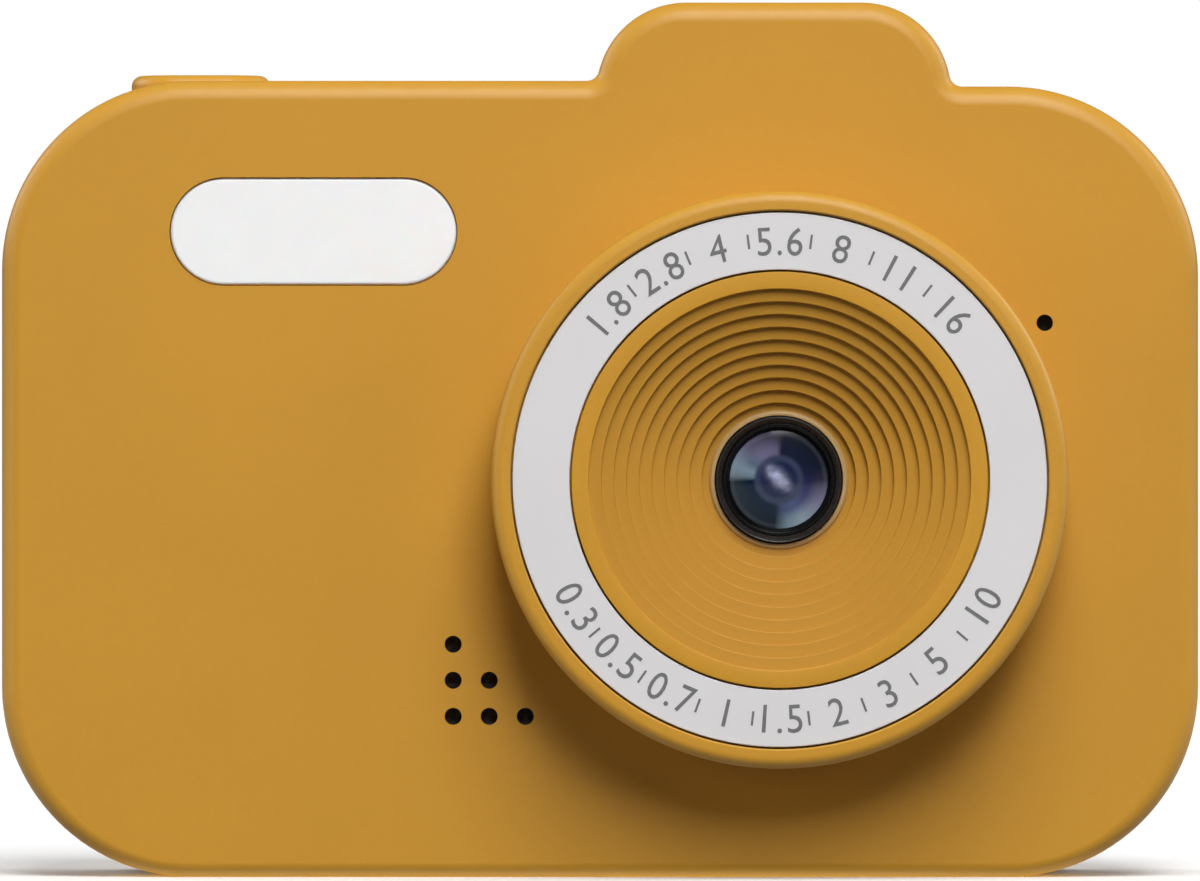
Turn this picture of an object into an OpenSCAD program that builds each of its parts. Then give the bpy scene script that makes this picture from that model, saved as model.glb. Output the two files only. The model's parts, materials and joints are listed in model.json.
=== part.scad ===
// Children's digital camera: a two-shell casing with a viewfinder hump, a raised lens ring with a
// stepped cone, a flash, a rear display and keys, and the electronics that they hold.
// The lens looks along -Y, +X is to the right as seen from the front, and +Z is up. The origin is
// on the flat base, midway between the sides and between the front and rear faces.

/* [Casing] */
// Width of the casing
body_w = 84; // [83.5:0.5:88]
// Distance from the flat front face to the flat rear face
body_d = 24; // [24:0.5:28]
// Height of the shoulder that carries the shutter button
left_h = 55.9; // [55.6:0.1:56.2]
// Height of the other shoulder
right_h = 55.5; // [55.2:0.1:55.8]
// Height of the top of the hump
hump_h = 61.4; // [60.5:0.1:62.5]
// Radius of the four outer corners
corner_r = 13.3; // [12:0.1:14]
// Radius of the hump's two upper corners
hump_r = 6.3; // [5.8:0.1:6.5]
// Distance between the centres of the hump's corner arcs
hump_span = 12.3; // [11:0.1:14]
// Wall thickness of both shells
wall = 1.8; // [1.6:0.1:2]
// Radius of the rounded front edge
front_round = 1.4; // [1:0.1:1.8]
// Radius of the rounded rear edge
rear_round = 2; // [1.4:0.1:2.4]

/* [Lens] */
// Sideways place of the lens axis
lens_x = 12.5; // [11.5:0.1:13.5]
// Height of the lens axis
lens_z = 27.9; // [27:0.1:29]
// How far the lens ring stands out of the front face
ring_h = 10; // [9:0.5:12]
// Outer radius of the lens ring
ring_r = 20.1; // [19.8:0.1:20.6]
// Outer radius of the printed insert
insert_r = 18.6; // [18.4:0.1:18.8]
// Inner radius of the printed insert
insert_bore_r = 14.5; // [14.3:0.1:14.7]
// Radius of the cone's mouth
cone_mouth_r = 13.3; // [13:0.1:13.6]
// Number of steps down the cone
cone_steps = 10; // [8:1:12]
// Depth of each step
step_h = 0.6; // [0.5:0.05:0.65]
// Outer radius of the black lens barrel
barrel_r = 4.4; // [4.2:0.1:4.6]

/* [Controls] */
// How far a key or the shutter button travels
key_travel = 0.35; // [0.25:0.05:0.35]
// How far the rear keys stand out of the rear face
key_proud = 0.9; // [0.6:0.1:1.2]
// Outer radius of the ring of four direction keys
pad_r = 9.5; // [9:0.1:9.6]
// Length of the shutter button
shutter_l = 9.8; // [9:0.1:10]
// Width of the shutter button, front to rear
shutter_w = 7; // [6:0.1:7]

/* [Display] */
// Width of the display window
window_w = 49; // [47:0.5:49]
// Height of the display window
window_h = 38; // [36:0.5:38]

/* [Hidden] */
$fn = 64;

half_w = body_w / 2;
face = body_d / 2;          // distance of the front and rear faces from the middle
inner = face - wall;        // distance of the inside faces from the middle
part_y = 2.4;               // the parting plane, and the middle of the ports
hump_x = 12.2;              // middle of the hump
hump_z = hump_h - hump_r;   // height of the hump's arc centres
web_r = 0.9;                // hollow fillet where the hump meets each shoulder
gap = 0.1;                  // fitting gap around inset parts
slip = 0.2;                 // side clearance of the keys
arc_n = 12;                 // segments in a large corner
web_n = 5;                  // segments in a small one
round_n = 5;                // steps in a rounded edge
tongue_h = 1;               // height of the tongue at the parting plane
tongue_in = 0.95;           // its outer face, measured in from the casing's outline

flash_at = [-20.1, 45.3];
flash_size = [20.2, 7.6];
speaker_at = [-8.1, 13.2];
speaker_r = 7.5;
mesh_t = 0.25;
speaker_front = inner - mesh_t - gap;
sound_pitch = 2.53;
sound_r = 0.6;
mic_at = [31.2, 38.9];
mic_r = 2;

ring_front = face + ring_h;
ring_screw_orbit = 16.2;
ring_screw_angles = [30, 150, 270];
insert_t = 1;
shelf_bore_r = insert_bore_r + 0.3;
cone_front = ring_front - gap;
cone_pitch = (cone_mouth_r - barrel_r - 0.1) / cone_steps;
cone_floor = cone_front - cone_steps * step_h;
cone_wall = 1.3;
cone_flange_r = 16.5;
barrel_bore = barrel_r - 0.45;
barrel_front = cone_floor + 0.7;
barrel_back = 6.6;          // heights in the lens stack are measured forward from the middle
holder_w = 14;
sensor_plane = 2.5;

board_y = 4;                // front side of the main board
board_t = 1.2;
board_back = board_y + board_t;
board_holes = [[-16.5, 5.8], [30, 5.8], [-16.5, 49.4], [30, 49.4]];
case_screws_at = [[-36.6, 8.2], [36.6, 8.2], [-36.6, 47.6], [36.6, 47.6]];

window_at = [9, 28];
window_t = 1.3;
window_r = 4;
panel_size = [46.6, 35.6];
aperture_size = [43.6, 32.6];
selfie_at = [12.3, 54];
selfie_r = 3.6;

pad_at = [-27, 27];
ok_r = 3.6;
petal_in = 4.1;
petal_gap = 0.5;
petal_centre = 6.8;
power_at = [-27, 45.5];
menu_at = [-31, 11.6];
play_at = [-23, 11.6];
small_key_r = 2.6;
flange_w = 0.8;
flange_t = 0.75;
flange_y = inner - gap - flange_t;
switch_top = flange_y - 0.6 - key_travel - 0.05;
key_top = face + key_proud;

shutter_at = [-28.2, -3.2];
shutter_top = left_h + 0.5;
shutter_flange_z = 52.4;
shutter_stem_z = shutter_flange_z - 1.4;
shutter_board_z = 46.6;
shutter_board_t = 0.8;
rail_x = 7.2;

usb_z = 35;
usb_size = [8.9, 3.2];
usb_l = 7.4;
card_z = 20;
card_l = 15;
reset_z = 28.8;
lanyard_z = 14.5;
lanyard_y = 6.4;

// Points along an arc about centre c, from angle a0 to a1
function arc(c, r, a0, a1, n) =
  [for (i = [0:n]) let (a = a0 + (a1 - a0) * i / n) [c[0] + r * cos(a), c[1] + r * sin(a)]];

// How far out, and at what angle, a web's centre lies from the hump's arc centre beside it
function web_reach(shoulder) = sqrt(pow(hump_r + web_r, 2) - pow(shoulder + web_r - hump_z, 2));
function web_angle(shoulder) = atan2(shoulder + web_r - hump_z, web_reach(shoulder));

// The casing's outline seen from the front, drawn in by inset
function casing_outline(inset = 0) = let (
  cx = half_w - corner_r,
  hump_right = [hump_x + hump_span / 2, hump_z],
  hump_left = [hump_x - hump_span / 2, hump_z],
  web_right = [hump_right[0] + web_reach(right_h), right_h + web_r],
  web_left = [hump_left[0] - web_reach(left_h), left_h + web_r],
  r = corner_r - inset
) concat(
  arc([cx, corner_r], r, -90, 0, arc_n),
  arc([cx, right_h - corner_r], r, 0, 90, arc_n),
  arc(web_right, web_r + inset, 270, 180 + web_angle(right_h), web_n),
  arc(hump_right, hump_r - inset, web_angle(right_h), 90, arc_n),
  arc(hump_left, hump_r - inset, 90, 180 - web_angle(left_h), arc_n),
  arc(web_left, web_r + inset, -web_angle(left_h), -90, web_n),
  arc([-cx, left_h - corner_r], r, 90, 180, arc_n),
  arc([-cx, corner_r], r, 180, 270, arc_n)
);

// Layers [y, inset] of a rounded edge that starts at the flat face y and turns towards side
function round_layers(y, r, side) =
  [for (i = [0:round_n]) let (t = 90 * i / round_n) [y + side * r * (1 - cos(t)), r * (1 - sin(t))]];

// A closed solid through casing outlines, from the front layer to the rear one
module casing_loft(layers) {
  n = len(casing_outline());
  last = len(layers) - 1;
  hub = [hump_x, 40];
  points = concat(
    [for (l = layers) for (p = casing_outline(l[1])) [p[0], l[0], p[1]]],
    [[hub[0], layers[0][0], hub[1]], [hub[0], layers[last][0], hub[1]]]
  );
  front_hub = n * (last + 1);
  sides = [for (l = [0:last - 1]) for (i = [0:n - 1])
    let (j = (i + 1) % n, a = l * n, b = (l + 1) * n)
    each [[a + i, a + j, b + j], [a + i, b + j, b + i]]];
  front_cap = [for (i = [0:n - 1]) [front_hub, (i + 1) % n, i]];
  rear_cap = [for (i = [0:n - 1]) [front_hub + 1, last * n + i, last * n + (i + 1) % n]];
  polyhedron(points, concat(sides, front_cap, rear_cap), convexity = 6);
}

// Extrudes a shape drawn in X and Z from y0 back to y1
module slab(y0, y1) {
  translate([0, y1, 0]) rotate([90, 0, 0]) linear_extrude(y1 - y0) children();
}

// A round bar along Y
module rod(at, r, y0, y1) {
  slab(y0, y1) translate(at) circle(r);
}

// A box from its lowest to its highest corner
module block(lo, hi) {
  translate(lo) cube(hi - lo);
}

// A stadium shape centred on a point
module pill(at, size) {
  r = size[1] / 2;
  translate(at) {
    square([size[0] - size[1], size[1]], center = true);
    for (s = [-1, 1]) translate([s * (size[0] / 2 - r), 0]) circle(r);
  }
}

// A rectangle with round corners centred on a point
module round_rect(at, size, r) {
  translate(at) {
    square([size[0] - 2 * r, size[1]], center = true);
    square([size[0], size[1] - 2 * r], center = true);
    for (x = [-1, 1], z = [-1, 1])
      translate([x * (size[0] / 2 - r), z * (size[1] / 2 - r)]) circle(r);
  }
}

// Turns a profile of [radius, height forward of the middle] about the lens axis
module lens_turn() {
  translate([lens_x, 0, lens_z]) rotate([90, 0, 0]) rotate_extrude() children();
}

// A round tube in the lens stack, from height h0 forward to h1
module lens_tube(r0, r1, h0, h1) {
  lens_turn() translate([r0, h0]) square([r1 - r0, h1 - h0]);
}

// A wire through a list of points
module wire(points, r) {
  for (i = [0:len(points) - 2]) hull() {
    translate(points[i]) sphere(r, $fn = 8);
    translate(points[i + 1]) sphere(r, $fn = 8);
  }
}

// The two leads of one part run side by side, dx apart
module lead_pair(points, r, offset) {
  wire(points, r);
  wire([for (p = points) p + offset], r);
}

// A pan-head screw along Y whose head's outer face is at y_head and whose shank runs towards side
module screw(at, head_r, head_t, shank_r, y_head, length, side) {
  y_seat = y_head + side * head_t;
  y_tip = y_seat + side * length;
  difference() {
    union() {
      rod(at, head_r, min(y_head, y_seat), max(y_head, y_seat));
      rod(at, shank_r, min(y_seat, y_tip), max(y_seat, y_tip));
    }
    cross_depth = head_t * 0.55;
    y_floor = y_head + side * cross_depth;
    y_out = y_head - side;
    slab(min(y_floor, y_out), max(y_floor, y_out)) translate(at) {
      square([head_r * 1.3, head_r * 0.32], center = true);
      square([head_r * 0.32, head_r * 1.3], center = true);
    }
  }
}

function ring_screw_at(a) = [lens_x + ring_screw_orbit * cos(a), lens_z + ring_screw_orbit * sin(a)];

// The openings in the casing's right side, shared by both shells
module side_ports() {
  x0 = half_w - 4;
  x1 = half_w + 1;
  translate([x0, part_y, usb_z]) rotate([90, 0, 90]) linear_extrude(x1 - x0)
    rotate(90) pill([0, 0], usb_size + [0.3, 0.3]);
  block([x0, part_y - 0.75, card_z - 5.8], [x1, part_y + 0.75, card_z + 5.8]);
  translate([x0, part_y, reset_z]) rotate([0, 90, 0]) cylinder(r = 0.6, h = x1 - x0);
}

module front_casing() color("goldenrod") difference() {
  union() {
    difference() {
      casing_loft(concat(round_layers(-face, front_round, 1), [[part_y, 0]]));
      slab(-inner, part_y + 1) polygon(casing_outline(wall));
    }
    // tongue that enters the rear shell
    slab(part_y - 0.5, part_y + tongue_h) difference() {
      polygon(casing_outline(tongue_in));
      polygon(casing_outline(wall));
    }
    for (p = case_screws_at) rod(p, 2.6, -inner - 0.3, part_y);
    // rails that hang from the top wall and hold the shutter board
    for (rail = [[-rail_x, 53], [rail_x - 1, left_h - wall + 0.3]])
      block([shutter_at[0] + rail[0], -6, shutter_board_z - 0.8],
            [shutter_at[0] + rail[0] + 1, 0, rail[1]]);
    // rim that locates the speaker
    slab(-inner - 0.3, -inner + 1.6) translate(speaker_at) difference() {
      circle(speaker_r + 1);
      circle(speaker_r + 0.1);
    }
  }
  for (p = case_screws_at) rod(p, 1, -inner + 2, part_y + 1);
  rod([lens_x, lens_z], 6, -face - 1, -inner + 1);
  for (a = ring_screw_angles) rod(ring_screw_at(a), 1.15, -face - 1, -inner + 1);
  slab(-face - 1, -face + 1.2) pill(flash_at, flash_size);
  slab(-face - 1, -inner + 1) pill(flash_at, flash_size - [2.2, 2.2]);
  for (row = [0:2], col = [0:row])
    rod([-10.3 + sound_pitch * col, 16.35 - sound_pitch * row], sound_r, -face - 1, -inner + 1);
  rod(mic_at, 0.58, -face - 1, -inner + 1);
  translate([shutter_at[0], shutter_at[1], 50]) linear_extrude(8)
    pill([0, 0], [shutter_l + 2 * slip, shutter_w + 2 * slip]);
  shutter_board_space(0.05);
  side_ports();
}

module rear_casing() color("goldenrod") difference() {
  union() {
    difference() {
      casing_loft(concat([[part_y, 0]], [for (i = [round_n:-1:0]) round_layers(face, rear_round, -1)[i]]));
      slab(part_y - 1, inner) polygon(casing_outline(wall));
    }
    for (p = case_screws_at) rod(p, 2.8, part_y + 0.1, inner + 0.3);
    for (p = board_holes) rod(p, 1.9, board_back, inner + 0.3);
    // block behind the lanyard pocket
    block([-half_w + 1.2, part_y + tongue_h + 0.2, lanyard_z - 5], [-36.7, inner + 0.3, lanyard_z + 5]);
  }
  for (p = case_screws_at) {
    rod(p, 1.15, part_y - 1, face + 1);
    rod(p, 2, 8, face + 1);
  }
  for (p = board_holes) rod(p, 0.8, board_back - 1, inner - 1);
  // groove for the front shell's tongue
  slab(part_y - 1, part_y + tongue_h + gap) difference() {
    polygon(casing_outline(tongue_in - 0.05));
    polygon(casing_outline(wall + gap));
  }
  slab(face - window_t, face + 1) round_rect(window_at, [window_w, window_h], window_r);
  slab(inner - 1, face + 1) round_rect(window_at, aperture_size, 2);
  slab(face - 1.2, face + 1) translate(selfie_at) circle(selfie_r + gap);
  slab(inner - 1, face + 1) translate(selfie_at) circle(selfie_r - 0.8);
  rod(pad_at, pad_r + slip, inner - 1, face + 1);
  for (p = [power_at, menu_at, play_at]) rod(p, small_key_r + slip, inner - 1, face + 1);
  // lanyard pocket, and the hole for its pin
  block([-half_w - 1, lanyard_y - 2.2, lanyard_z - 3], [-38.4, lanyard_y + 2.2, lanyard_z + 3]);
  translate([-40.4, lanyard_y, lanyard_z - 4.6]) cylinder(r = 0.82, h = 9.2);
  side_ports();
}

// Raised ring around the lens: a hollow drum with a shelf that the cone and the insert sit on
module lens_ring() color("goldenrod") difference() {
  union() {
    lens_turn() difference() {
      union() {
        translate([18, face]) square([ring_r - 18, ring_front - 1 - face]);
        translate([18, ring_front - 1.1]) square([ring_r - 19, 1.1]);
        translate([ring_r - 1, ring_front - 1]) circle(1);
        translate([shelf_bore_r, ring_front - insert_t - 2.9]) square([18.1 - shelf_bore_r, 2.8]);
      }
      translate([insert_bore_r + 1.3, ring_front - insert_t - gap])
        square([insert_r + gap - insert_bore_r - 1.3, 3]);
      translate([14, ring_front - insert_t - 1.45]) square([cone_flange_r + gap - 14, 3]);
    }
    for (a = ring_screw_angles) rod(ring_screw_at(a), 1.75, -ring_front + insert_t + 2, -face);
  }
  for (a = ring_screw_angles) rod(ring_screw_at(a), 0.92, -face - 6, -face + 1);
}

// Flat printed annulus set into the front of the ring
module ring_insert() color("gainsboro")
  lens_tube(insert_bore_r + 0.05, insert_r, ring_front - insert_t - gap, ring_front - gap);

// Stepped cone that leads in to the lens, with the flange that the insert holds down
module lens_cone() color("goldenrod") lens_turn() {
  step = function(i) [cone_mouth_r - cone_pitch * i, cone_front - step_h * i];
  front_edge = [for (i = [0:cone_steps - 1]) each [
    [step(i)[0], step(i)[1]], [step(i)[0], step(i + 1)[1]]]];
  back_z = cone_floor - cone_wall;
  polygon(concat(
    front_edge,
    [[barrel_r + 0.08, cone_floor], [barrel_r + 0.08, back_z - 1.2], [barrel_r + 1.1, back_z - 1.2]],
    [[barrel_r + 1.1, back_z], [insert_bore_r - 0.4, ring_front - insert_t - 2.4]],
    [[insert_bore_r + 0.2, ring_front - insert_t - 1.35], [cone_flange_r, ring_front - insert_t - 1.35]],
    [[cone_flange_r, ring_front - insert_t - gap], [insert_bore_r - 0.02, ring_front - insert_t - gap]],
    [[insert_bore_r - 0.02, cone_front]]
  ));
}

// Black tube that carries the glass elements
module lens_barrel() color("black") lens_turn() polygon([
  [barrel_bore, barrel_front - 1.1], [barrel_bore, barrel_front - 0.25],
  [barrel_bore + 0.15, barrel_front], [barrel_r - 0.15, barrel_front],
  [barrel_r, barrel_front - 0.2], [barrel_r, barrel_back],
  [2, barrel_back], [2, 8], [2.7, 8], [2.7, 12.2], [3.4, 12.2], [3.4, 13.2],
  [barrel_bore - 0.1, 13.2], [barrel_bore - 0.1, barrel_front - 1.1]
]);

// Thin ring that holds the front glass in the barrel
module lens_retainer() color("black") lens_turn() polygon([
  [barrel_bore - 0.53, barrel_front - 1.05], [barrel_bore - 0.53, barrel_front - 0.75],
  [barrel_bore - 0.25, barrel_front - 0.35], [barrel_bore - 0.02, barrel_front - 0.35],
  [barrel_bore - 0.02, barrel_front - 1.05]
]);

module front_lens() color("midnightblue") intersection() {
  lens_tube(0, barrel_bore - 0.13, 13.25, barrel_front);
  translate([lens_x, -(barrel_front - 0.45 - 9), lens_z]) sphere(9);
}

// Disc with the small hole that light passes through
module aperture_stop() color("black") lens_tube(1.1, 3.35, 12.25, 12.6);

module rear_lens() color("lightsteelblue") intersection() {
  lens_tube(0, 2.66, 8.05, 12);
  translate([lens_x, -5.6, lens_z]) sphere(6);
}

// Plastic mount that joins the barrel to the sensor board
module lens_holder() color("black") difference() {
  c = [lens_x, lens_z];
  union() {
    slab(-5.5, -sensor_plane) translate(c) square(holder_w, center = true);
    rod(c, 5.6, -11, -5.4);
  }
  rod(c, barrel_r + 0.03, -12, -6.4);
  rod(c, 3, -7, -4);
  slab(-4.2, -sensor_plane + 1) translate(c) square(10, center = true);
}

module ir_filter() color("lightcyan")
  slab(-4.15, -3.8) translate([lens_x, lens_z]) square(9.9, center = true);

module image_sensor() color("dimgray")
  slab(-sensor_plane - 0.8, -sensor_plane) translate([lens_x, lens_z]) square([7, 6.2], center = true);

module sensor_board() color("darkgreen") difference() {
  slab(-sensor_plane, -sensor_plane + 0.8) round_rect([lens_x, lens_z], [18, 18], 1);
  for (x = [-7.8, 7.8]) rod([lens_x + x, lens_z + 7.8], 0.6, -5, 0);
}

// Flat ribbon from the sensor board, round a half turn, up to the main board
module sensor_flex() color("orange") {
  y0 = -sensor_plane + 0.8;
  t = 0.2;
  r = (board_y - 0.9 - y0) / 2;
  z_turn = 14;
  translate([lens_x - 4, 0, 0]) {
    block([0, y0, z_turn], [8, y0 + t, lens_z - 6]);
    translate([0, y0 + r, z_turn]) rotate([90, 0, 90]) linear_extrude(8) difference() {
      circle(r);
      circle(r - t);
      translate([-r - 1, 0]) square([2 * r + 2, r + 1]);
    }
    block([0, y0 + 2 * r - t, z_turn], [8, y0 + 2 * r, z_turn + 5]);
    // the connector on the main board that takes its end
    block([-0.8, y0 + 2 * r, z_turn + 2], [8.8, board_y, z_turn + 5.5]);
  }
}

module ring_screws() color("silver")
  for (a = ring_screw_angles) screw(ring_screw_at(a), 1.75, 1.2, 0.9, -inner + 1.2, 5.6, -1);

module flash_window() color("whitesmoke")
  slab(-face + 0.15, -face + 1.15) pill(flash_at, flash_size - [0.2, 0.2]);

module flash_reflector() color("white") slab(-inner, -8) difference() {
  round_rect(flash_at, [21, 8], 1);
  pill(flash_at, [18.6, 6]);
}

module flash_board() color("white") slab(-8, -7) round_rect(flash_at, [21, 8], 0.6);

module flash_leds() color("khaki")
  for (s = [-1, 1]) slab(-8.8, -8) translate(flash_at + [s * 4.5, 0]) square([3.5, 2.8], center = true);

module flash_wires() color("red") lead_pair(
  [[-12, -6.7, 43], [-8, -5.4, 41.5], [-3, -2, 42], [-1, 2.4, 43], [-1, 3.65, 44]], 0.3, [0, 0, 1.4]);

// Turns a profile of [radius, height forward of the speaker's front] about the speaker's axis
module speaker_turn() {
  translate([speaker_at[0], -speaker_front, speaker_at[1]]) rotate([90, 0, 0]) rotate_extrude() children();
}

module speaker_frame() color("silver") {
  speaker_turn() polygon([
    [6.6, 0], [speaker_r, 0], [speaker_r, -1.55], [4.8, -2.25], [4.8, -3.45], [0, -3.45],
    [0, -2.65], [4, -2.65], [4, -1.95], [6.6, -1.25]
  ]);
}

module speaker_cone() color("dimgray") {
  speaker_turn() polygon([
    [0, -0.55], [2.4, -0.95], [3.6, -1.1], [5, -0.65], [6, -0.45], [6.55, -0.65], [6.55, -0.8],
    [6, -0.65], [5, -0.85], [3.6, -1.3], [3.6, -1.85], [3.4, -1.85], [3.4, -1.25], [2.4, -1.15],
    [0, -0.75]
  ]);
}

module speaker_mesh() color("black") rod(speaker_at, speaker_r - 0.5, -inner, -inner + mesh_t);

module speaker_wires() color("black") lead_pair(
  [[-3.5, -6, 10], [-1.2, -3.2, 9], [0.4, 0.6, 8.6], [0.4, 3.65, 8.6]], 0.3, [1.3, 0, 0]);

module microphone() color("silver") rod(mic_at, mic_r, -inner + 0.1, -inner + 1.6);

module mic_boot() color("black") difference() {
  rod(mic_at, mic_r + 0.9, -inner, -inner + 2.6);
  rod(mic_at, mic_r + 0.02, -inner - 1, -inner + 1.62);
  rod(mic_at, 1.2, -inner, -inner + 3);
}

module mic_wires() color("red") lead_pair(
  [[30.8, -8.3, 38.9], [30.8, -5.5, 39.2], [31, -1, 41], [31, 3.65, 42]], 0.25, [0.9, 0, 0]);

// Printed circuit board that carries the ports, the keys' switches and the display
module main_board() color("darkgreen") difference() {
  slab(board_y, board_back) {
    translate([-33.5, 3.5]) square([67, 48]);
    translate([-39.3, 21]) square([78.6, 22]);
    translate([20, 12.5]) square([19.3, 20]);
  }
  for (p = board_holes) rod(p, 1.15, board_y - 1, board_back + 1);
}

// The processor, its memory, the power chip, the crystal and rows of small passives
module board_chips() color("black") slab(board_y - 1, board_y) {
  translate([16, 39]) square(9);
  translate([2.5, 42]) square([6, 5]);
  translate([22, 8]) square([5, 5]);
  translate([-30, 42]) square([4, 3]);
  for (i = [0:5]) translate([-28 + 3.2 * i, 38.5]) square([1.6, 0.8]);
  for (i = [0:5]) translate([-2 + 2.6 * i, 5]) square([0.8, 1.6]);
  for (i = [0:4]) translate([27.5, 38 + 2.2 * i]) square([1.6, 0.8]);
}

// USB-C receptacle: an oval metal shell with its tongue
module usb_port() color("silver") {
  x0 = half_w - 1.4 - usb_l;
  translate([x0, part_y, usb_z]) rotate([90, 0, 90]) {
    difference() {
      linear_extrude(usb_l) rotate(90) pill([0, 0], usb_size);
      translate([0, 0, 0.8]) linear_extrude(usb_l) rotate(90) pill([0, 0], usb_size - [0.6, 0.6]);
    }
    translate([-0.35, -3.3, 0.8]) cube([0.7, 6.6, usb_l - 1.8]);
  }
}

// Metal cage that the memory card slides into
module card_socket() color("silver") {
  x0 = half_w - 3.2 - card_l;
  difference() {
    block([x0, part_y - 0.8, card_z - 7], [half_w - 3.2, board_y, card_z + 7]);
    block([x0 + 1, part_y - 0.6, card_z - 5.7], [half_w, part_y + 0.6, card_z + 5.7]);
  }
}

module reset_switch() color("dimgray") {
  block([35, board_y - 2.6, reset_z - 1.5], [38.6, board_y, reset_z + 1.5]);
  translate([38.6, part_y, reset_z]) rotate([0, 90, 0]) cylinder(r = 0.5, h = 0.8);
}

pad_keys = [for (a = [90, 270, 180, 0]) pad_at + petal_centre * [cos(a), sin(a)]];
key_places = concat(pad_keys, [pad_at, power_at, menu_at, play_at]);

// Push switches under the eight rear keys, with their plungers at the pressed height
module key_switches() color("dimgray") for (p = key_places) {
  slab(board_back, board_back + 2) translate(p) square(4.4, center = true);
  rod(p, 1.2, board_back + 2, switch_top);
}

// The shutter board's own box, grown by a clearance on its four edges
module shutter_board_space(c) {
  half = [6.75 + c, 3.5 + c];
  block([shutter_at[0] - half[0], shutter_at[1] - half[1], shutter_board_z],
        [shutter_at[0] + half[0], shutter_at[1] + half[1], shutter_board_z + shutter_board_t]);
}

module shutter_board() color("darkgreen") shutter_board_space(0);

module shutter_switch() color("dimgray") {
  z = shutter_board_z + shutter_board_t;
  translate([shutter_at[0], shutter_at[1], z]) {
    translate([-3, -3, 0]) cube([6, 6, 2.2]);
    cylinder(r = 1.6, h = shutter_stem_z - key_travel - 0.05 - z);
  }
}

// Flat lithium cell in its foil pouch, with the taped fold along its top
module battery() color("silver") {
  slab(-5.7, -0.7) round_rect([-19.5, 27.6], [34, 24], 1.2);
  slab(-4, -2.4) translate([-33, 39.5]) square([27, 1.8]);
}

module battery_plug() color("ivory") block([-6, board_y - 2.4, 47], [-1, board_y, 50.4]);

module battery_wires() color("red") lead_pair(
  [[-9, -3.2, 41.7], [-8, -1.6, 44], [-5, 0.4, 46.2], [-4.2, 2.6, 46.6]], 0.4, [1.6, 0, 0]);

module display_window() color([0.05, 0.05, 0.06, 0.6])
  slab(face - window_t + 0.05, face) round_rect(window_at, [window_w - 0.2, window_h - 0.2], window_r - 0.1);

module display_gasket() color("black") slab(inner - 0.3, inner) difference() {
  translate(window_at) square(panel_size, center = true);
  translate(window_at) square(aperture_size + [0.4, 0.4], center = true);
}

module display_panel() color("darkslategray") slab(inner - 1.3, inner - 0.3)
  translate(window_at) square(panel_size, center = true);

module display_backlight() color("white") slab(inner - 2.9, inner - 1.3)
  translate(window_at) square(panel_size, center = true);

// Open plastic tray that holds the display off the main board
module display_frame() color("black") slab(board_back, inner - 2.9) difference() {
  translate(window_at) square(panel_size, center = true);
  translate(window_at) square(panel_size - [4, 4], center = true);
}

// Ribbon from the display's backlight down to the main board, inside the tray
module display_flex() color("orange") {
  y0 = inner - 2.9;
  r = (y0 - board_back) / 2;
  t = 0.15;
  z_turn = 15;
  translate([window_at[0] - 9, 0, 0]) {
    block([0, y0 - t, z_turn], [18, y0, z_turn + 8]);
    translate([0, y0 - r, z_turn]) rotate([90, 0, 90]) linear_extrude(18) difference() {
      circle(r);
      circle(r - t);
      translate([-r - 1, 0]) square([2 * r + 2, r + 1]);
    }
    block([0, board_back, z_turn], [18, board_back + t, z_turn + 8]);
  }
}

module selfie_window() color("black") rod(selfie_at, selfie_r, face - 1.15, face);

// Small camera module that looks out of the rear of the hump
module selfie_camera() color("black") difference() {
  union() {
    slab(6, 8) translate(selfie_at) square([8, 7], center = true);
    rod(selfie_at, 2.6, 8, inner - 0.05);
  }
  rod(selfie_at, 1, 9, inner + 1);
}

module casing_screws() color("silver")
  for (p = case_screws_at) screw(p, 1.8, 1.4, 0.98, 9.4, 7.6 + 6, -1);

module board_screws() color("silver")
  for (p = board_holes) screw(p, 1.7, 1, 0.78, board_y - 1, 4.4, 1);

module lanyard_pin() color("silver")
  translate([-40.4, lanyard_y, lanyard_z - 4.5]) cylinder(r = 0.8, h = 9);

// Memory card with its raised grip along the outer end and the notch in one side
module memory_card() color("black") {
  x1 = half_w - 0.5;
  difference() {
    block([x1 - card_l, part_y - 0.35, card_z - 5.5], [x1, part_y + 0.35, card_z + 5.5]);
    block([x1 - card_l - 1, part_y - 1, card_z + 4.2], [x1 - card_l + 6, part_y + 1, card_z + 6]);
  }
  block([x1 - 1.2, part_y - 0.5, card_z - 5.2], [x1, part_y - 0.35, card_z + 5.2]);
}

// Oval button in the top of the casing: cap, flange under the wall and stem
module shutter_button() color("goldenrod") translate([shutter_at[0], shutter_at[1], 0]) {
  translate([0, 0, shutter_flange_z]) linear_extrude(shutter_top - 0.3 - shutter_flange_z)
    pill([0, 0], [shutter_l, shutter_w]);
  translate([0, 0, shutter_top - 0.3]) linear_extrude(0.3)
    pill([0, 0], [shutter_l - 0.5, shutter_w - 0.5]);
  translate([0, 0, shutter_flange_z - 0.8]) linear_extrude(0.8)
    pill([0, 0], [shutter_l + 1.2, shutter_w + 0.6]);
  translate([0, 0, shutter_stem_z]) cylinder(r = 1.5, h = 1);
}

// One of the four direction keys: a quarter of a ring that points at angle a
module petal(r0, r1, cut) {
  difference() {
    circle(r1);
    circle(r0);
    for (s = [45, 225]) rotate(s) translate([-cut / 2, -20]) square([cut, 40]);
    rotate(45) translate([-40, -20]) square([40, 40]);
    rotate(-45) translate([-40, -20]) square([40, 40]);
  }
}

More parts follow.
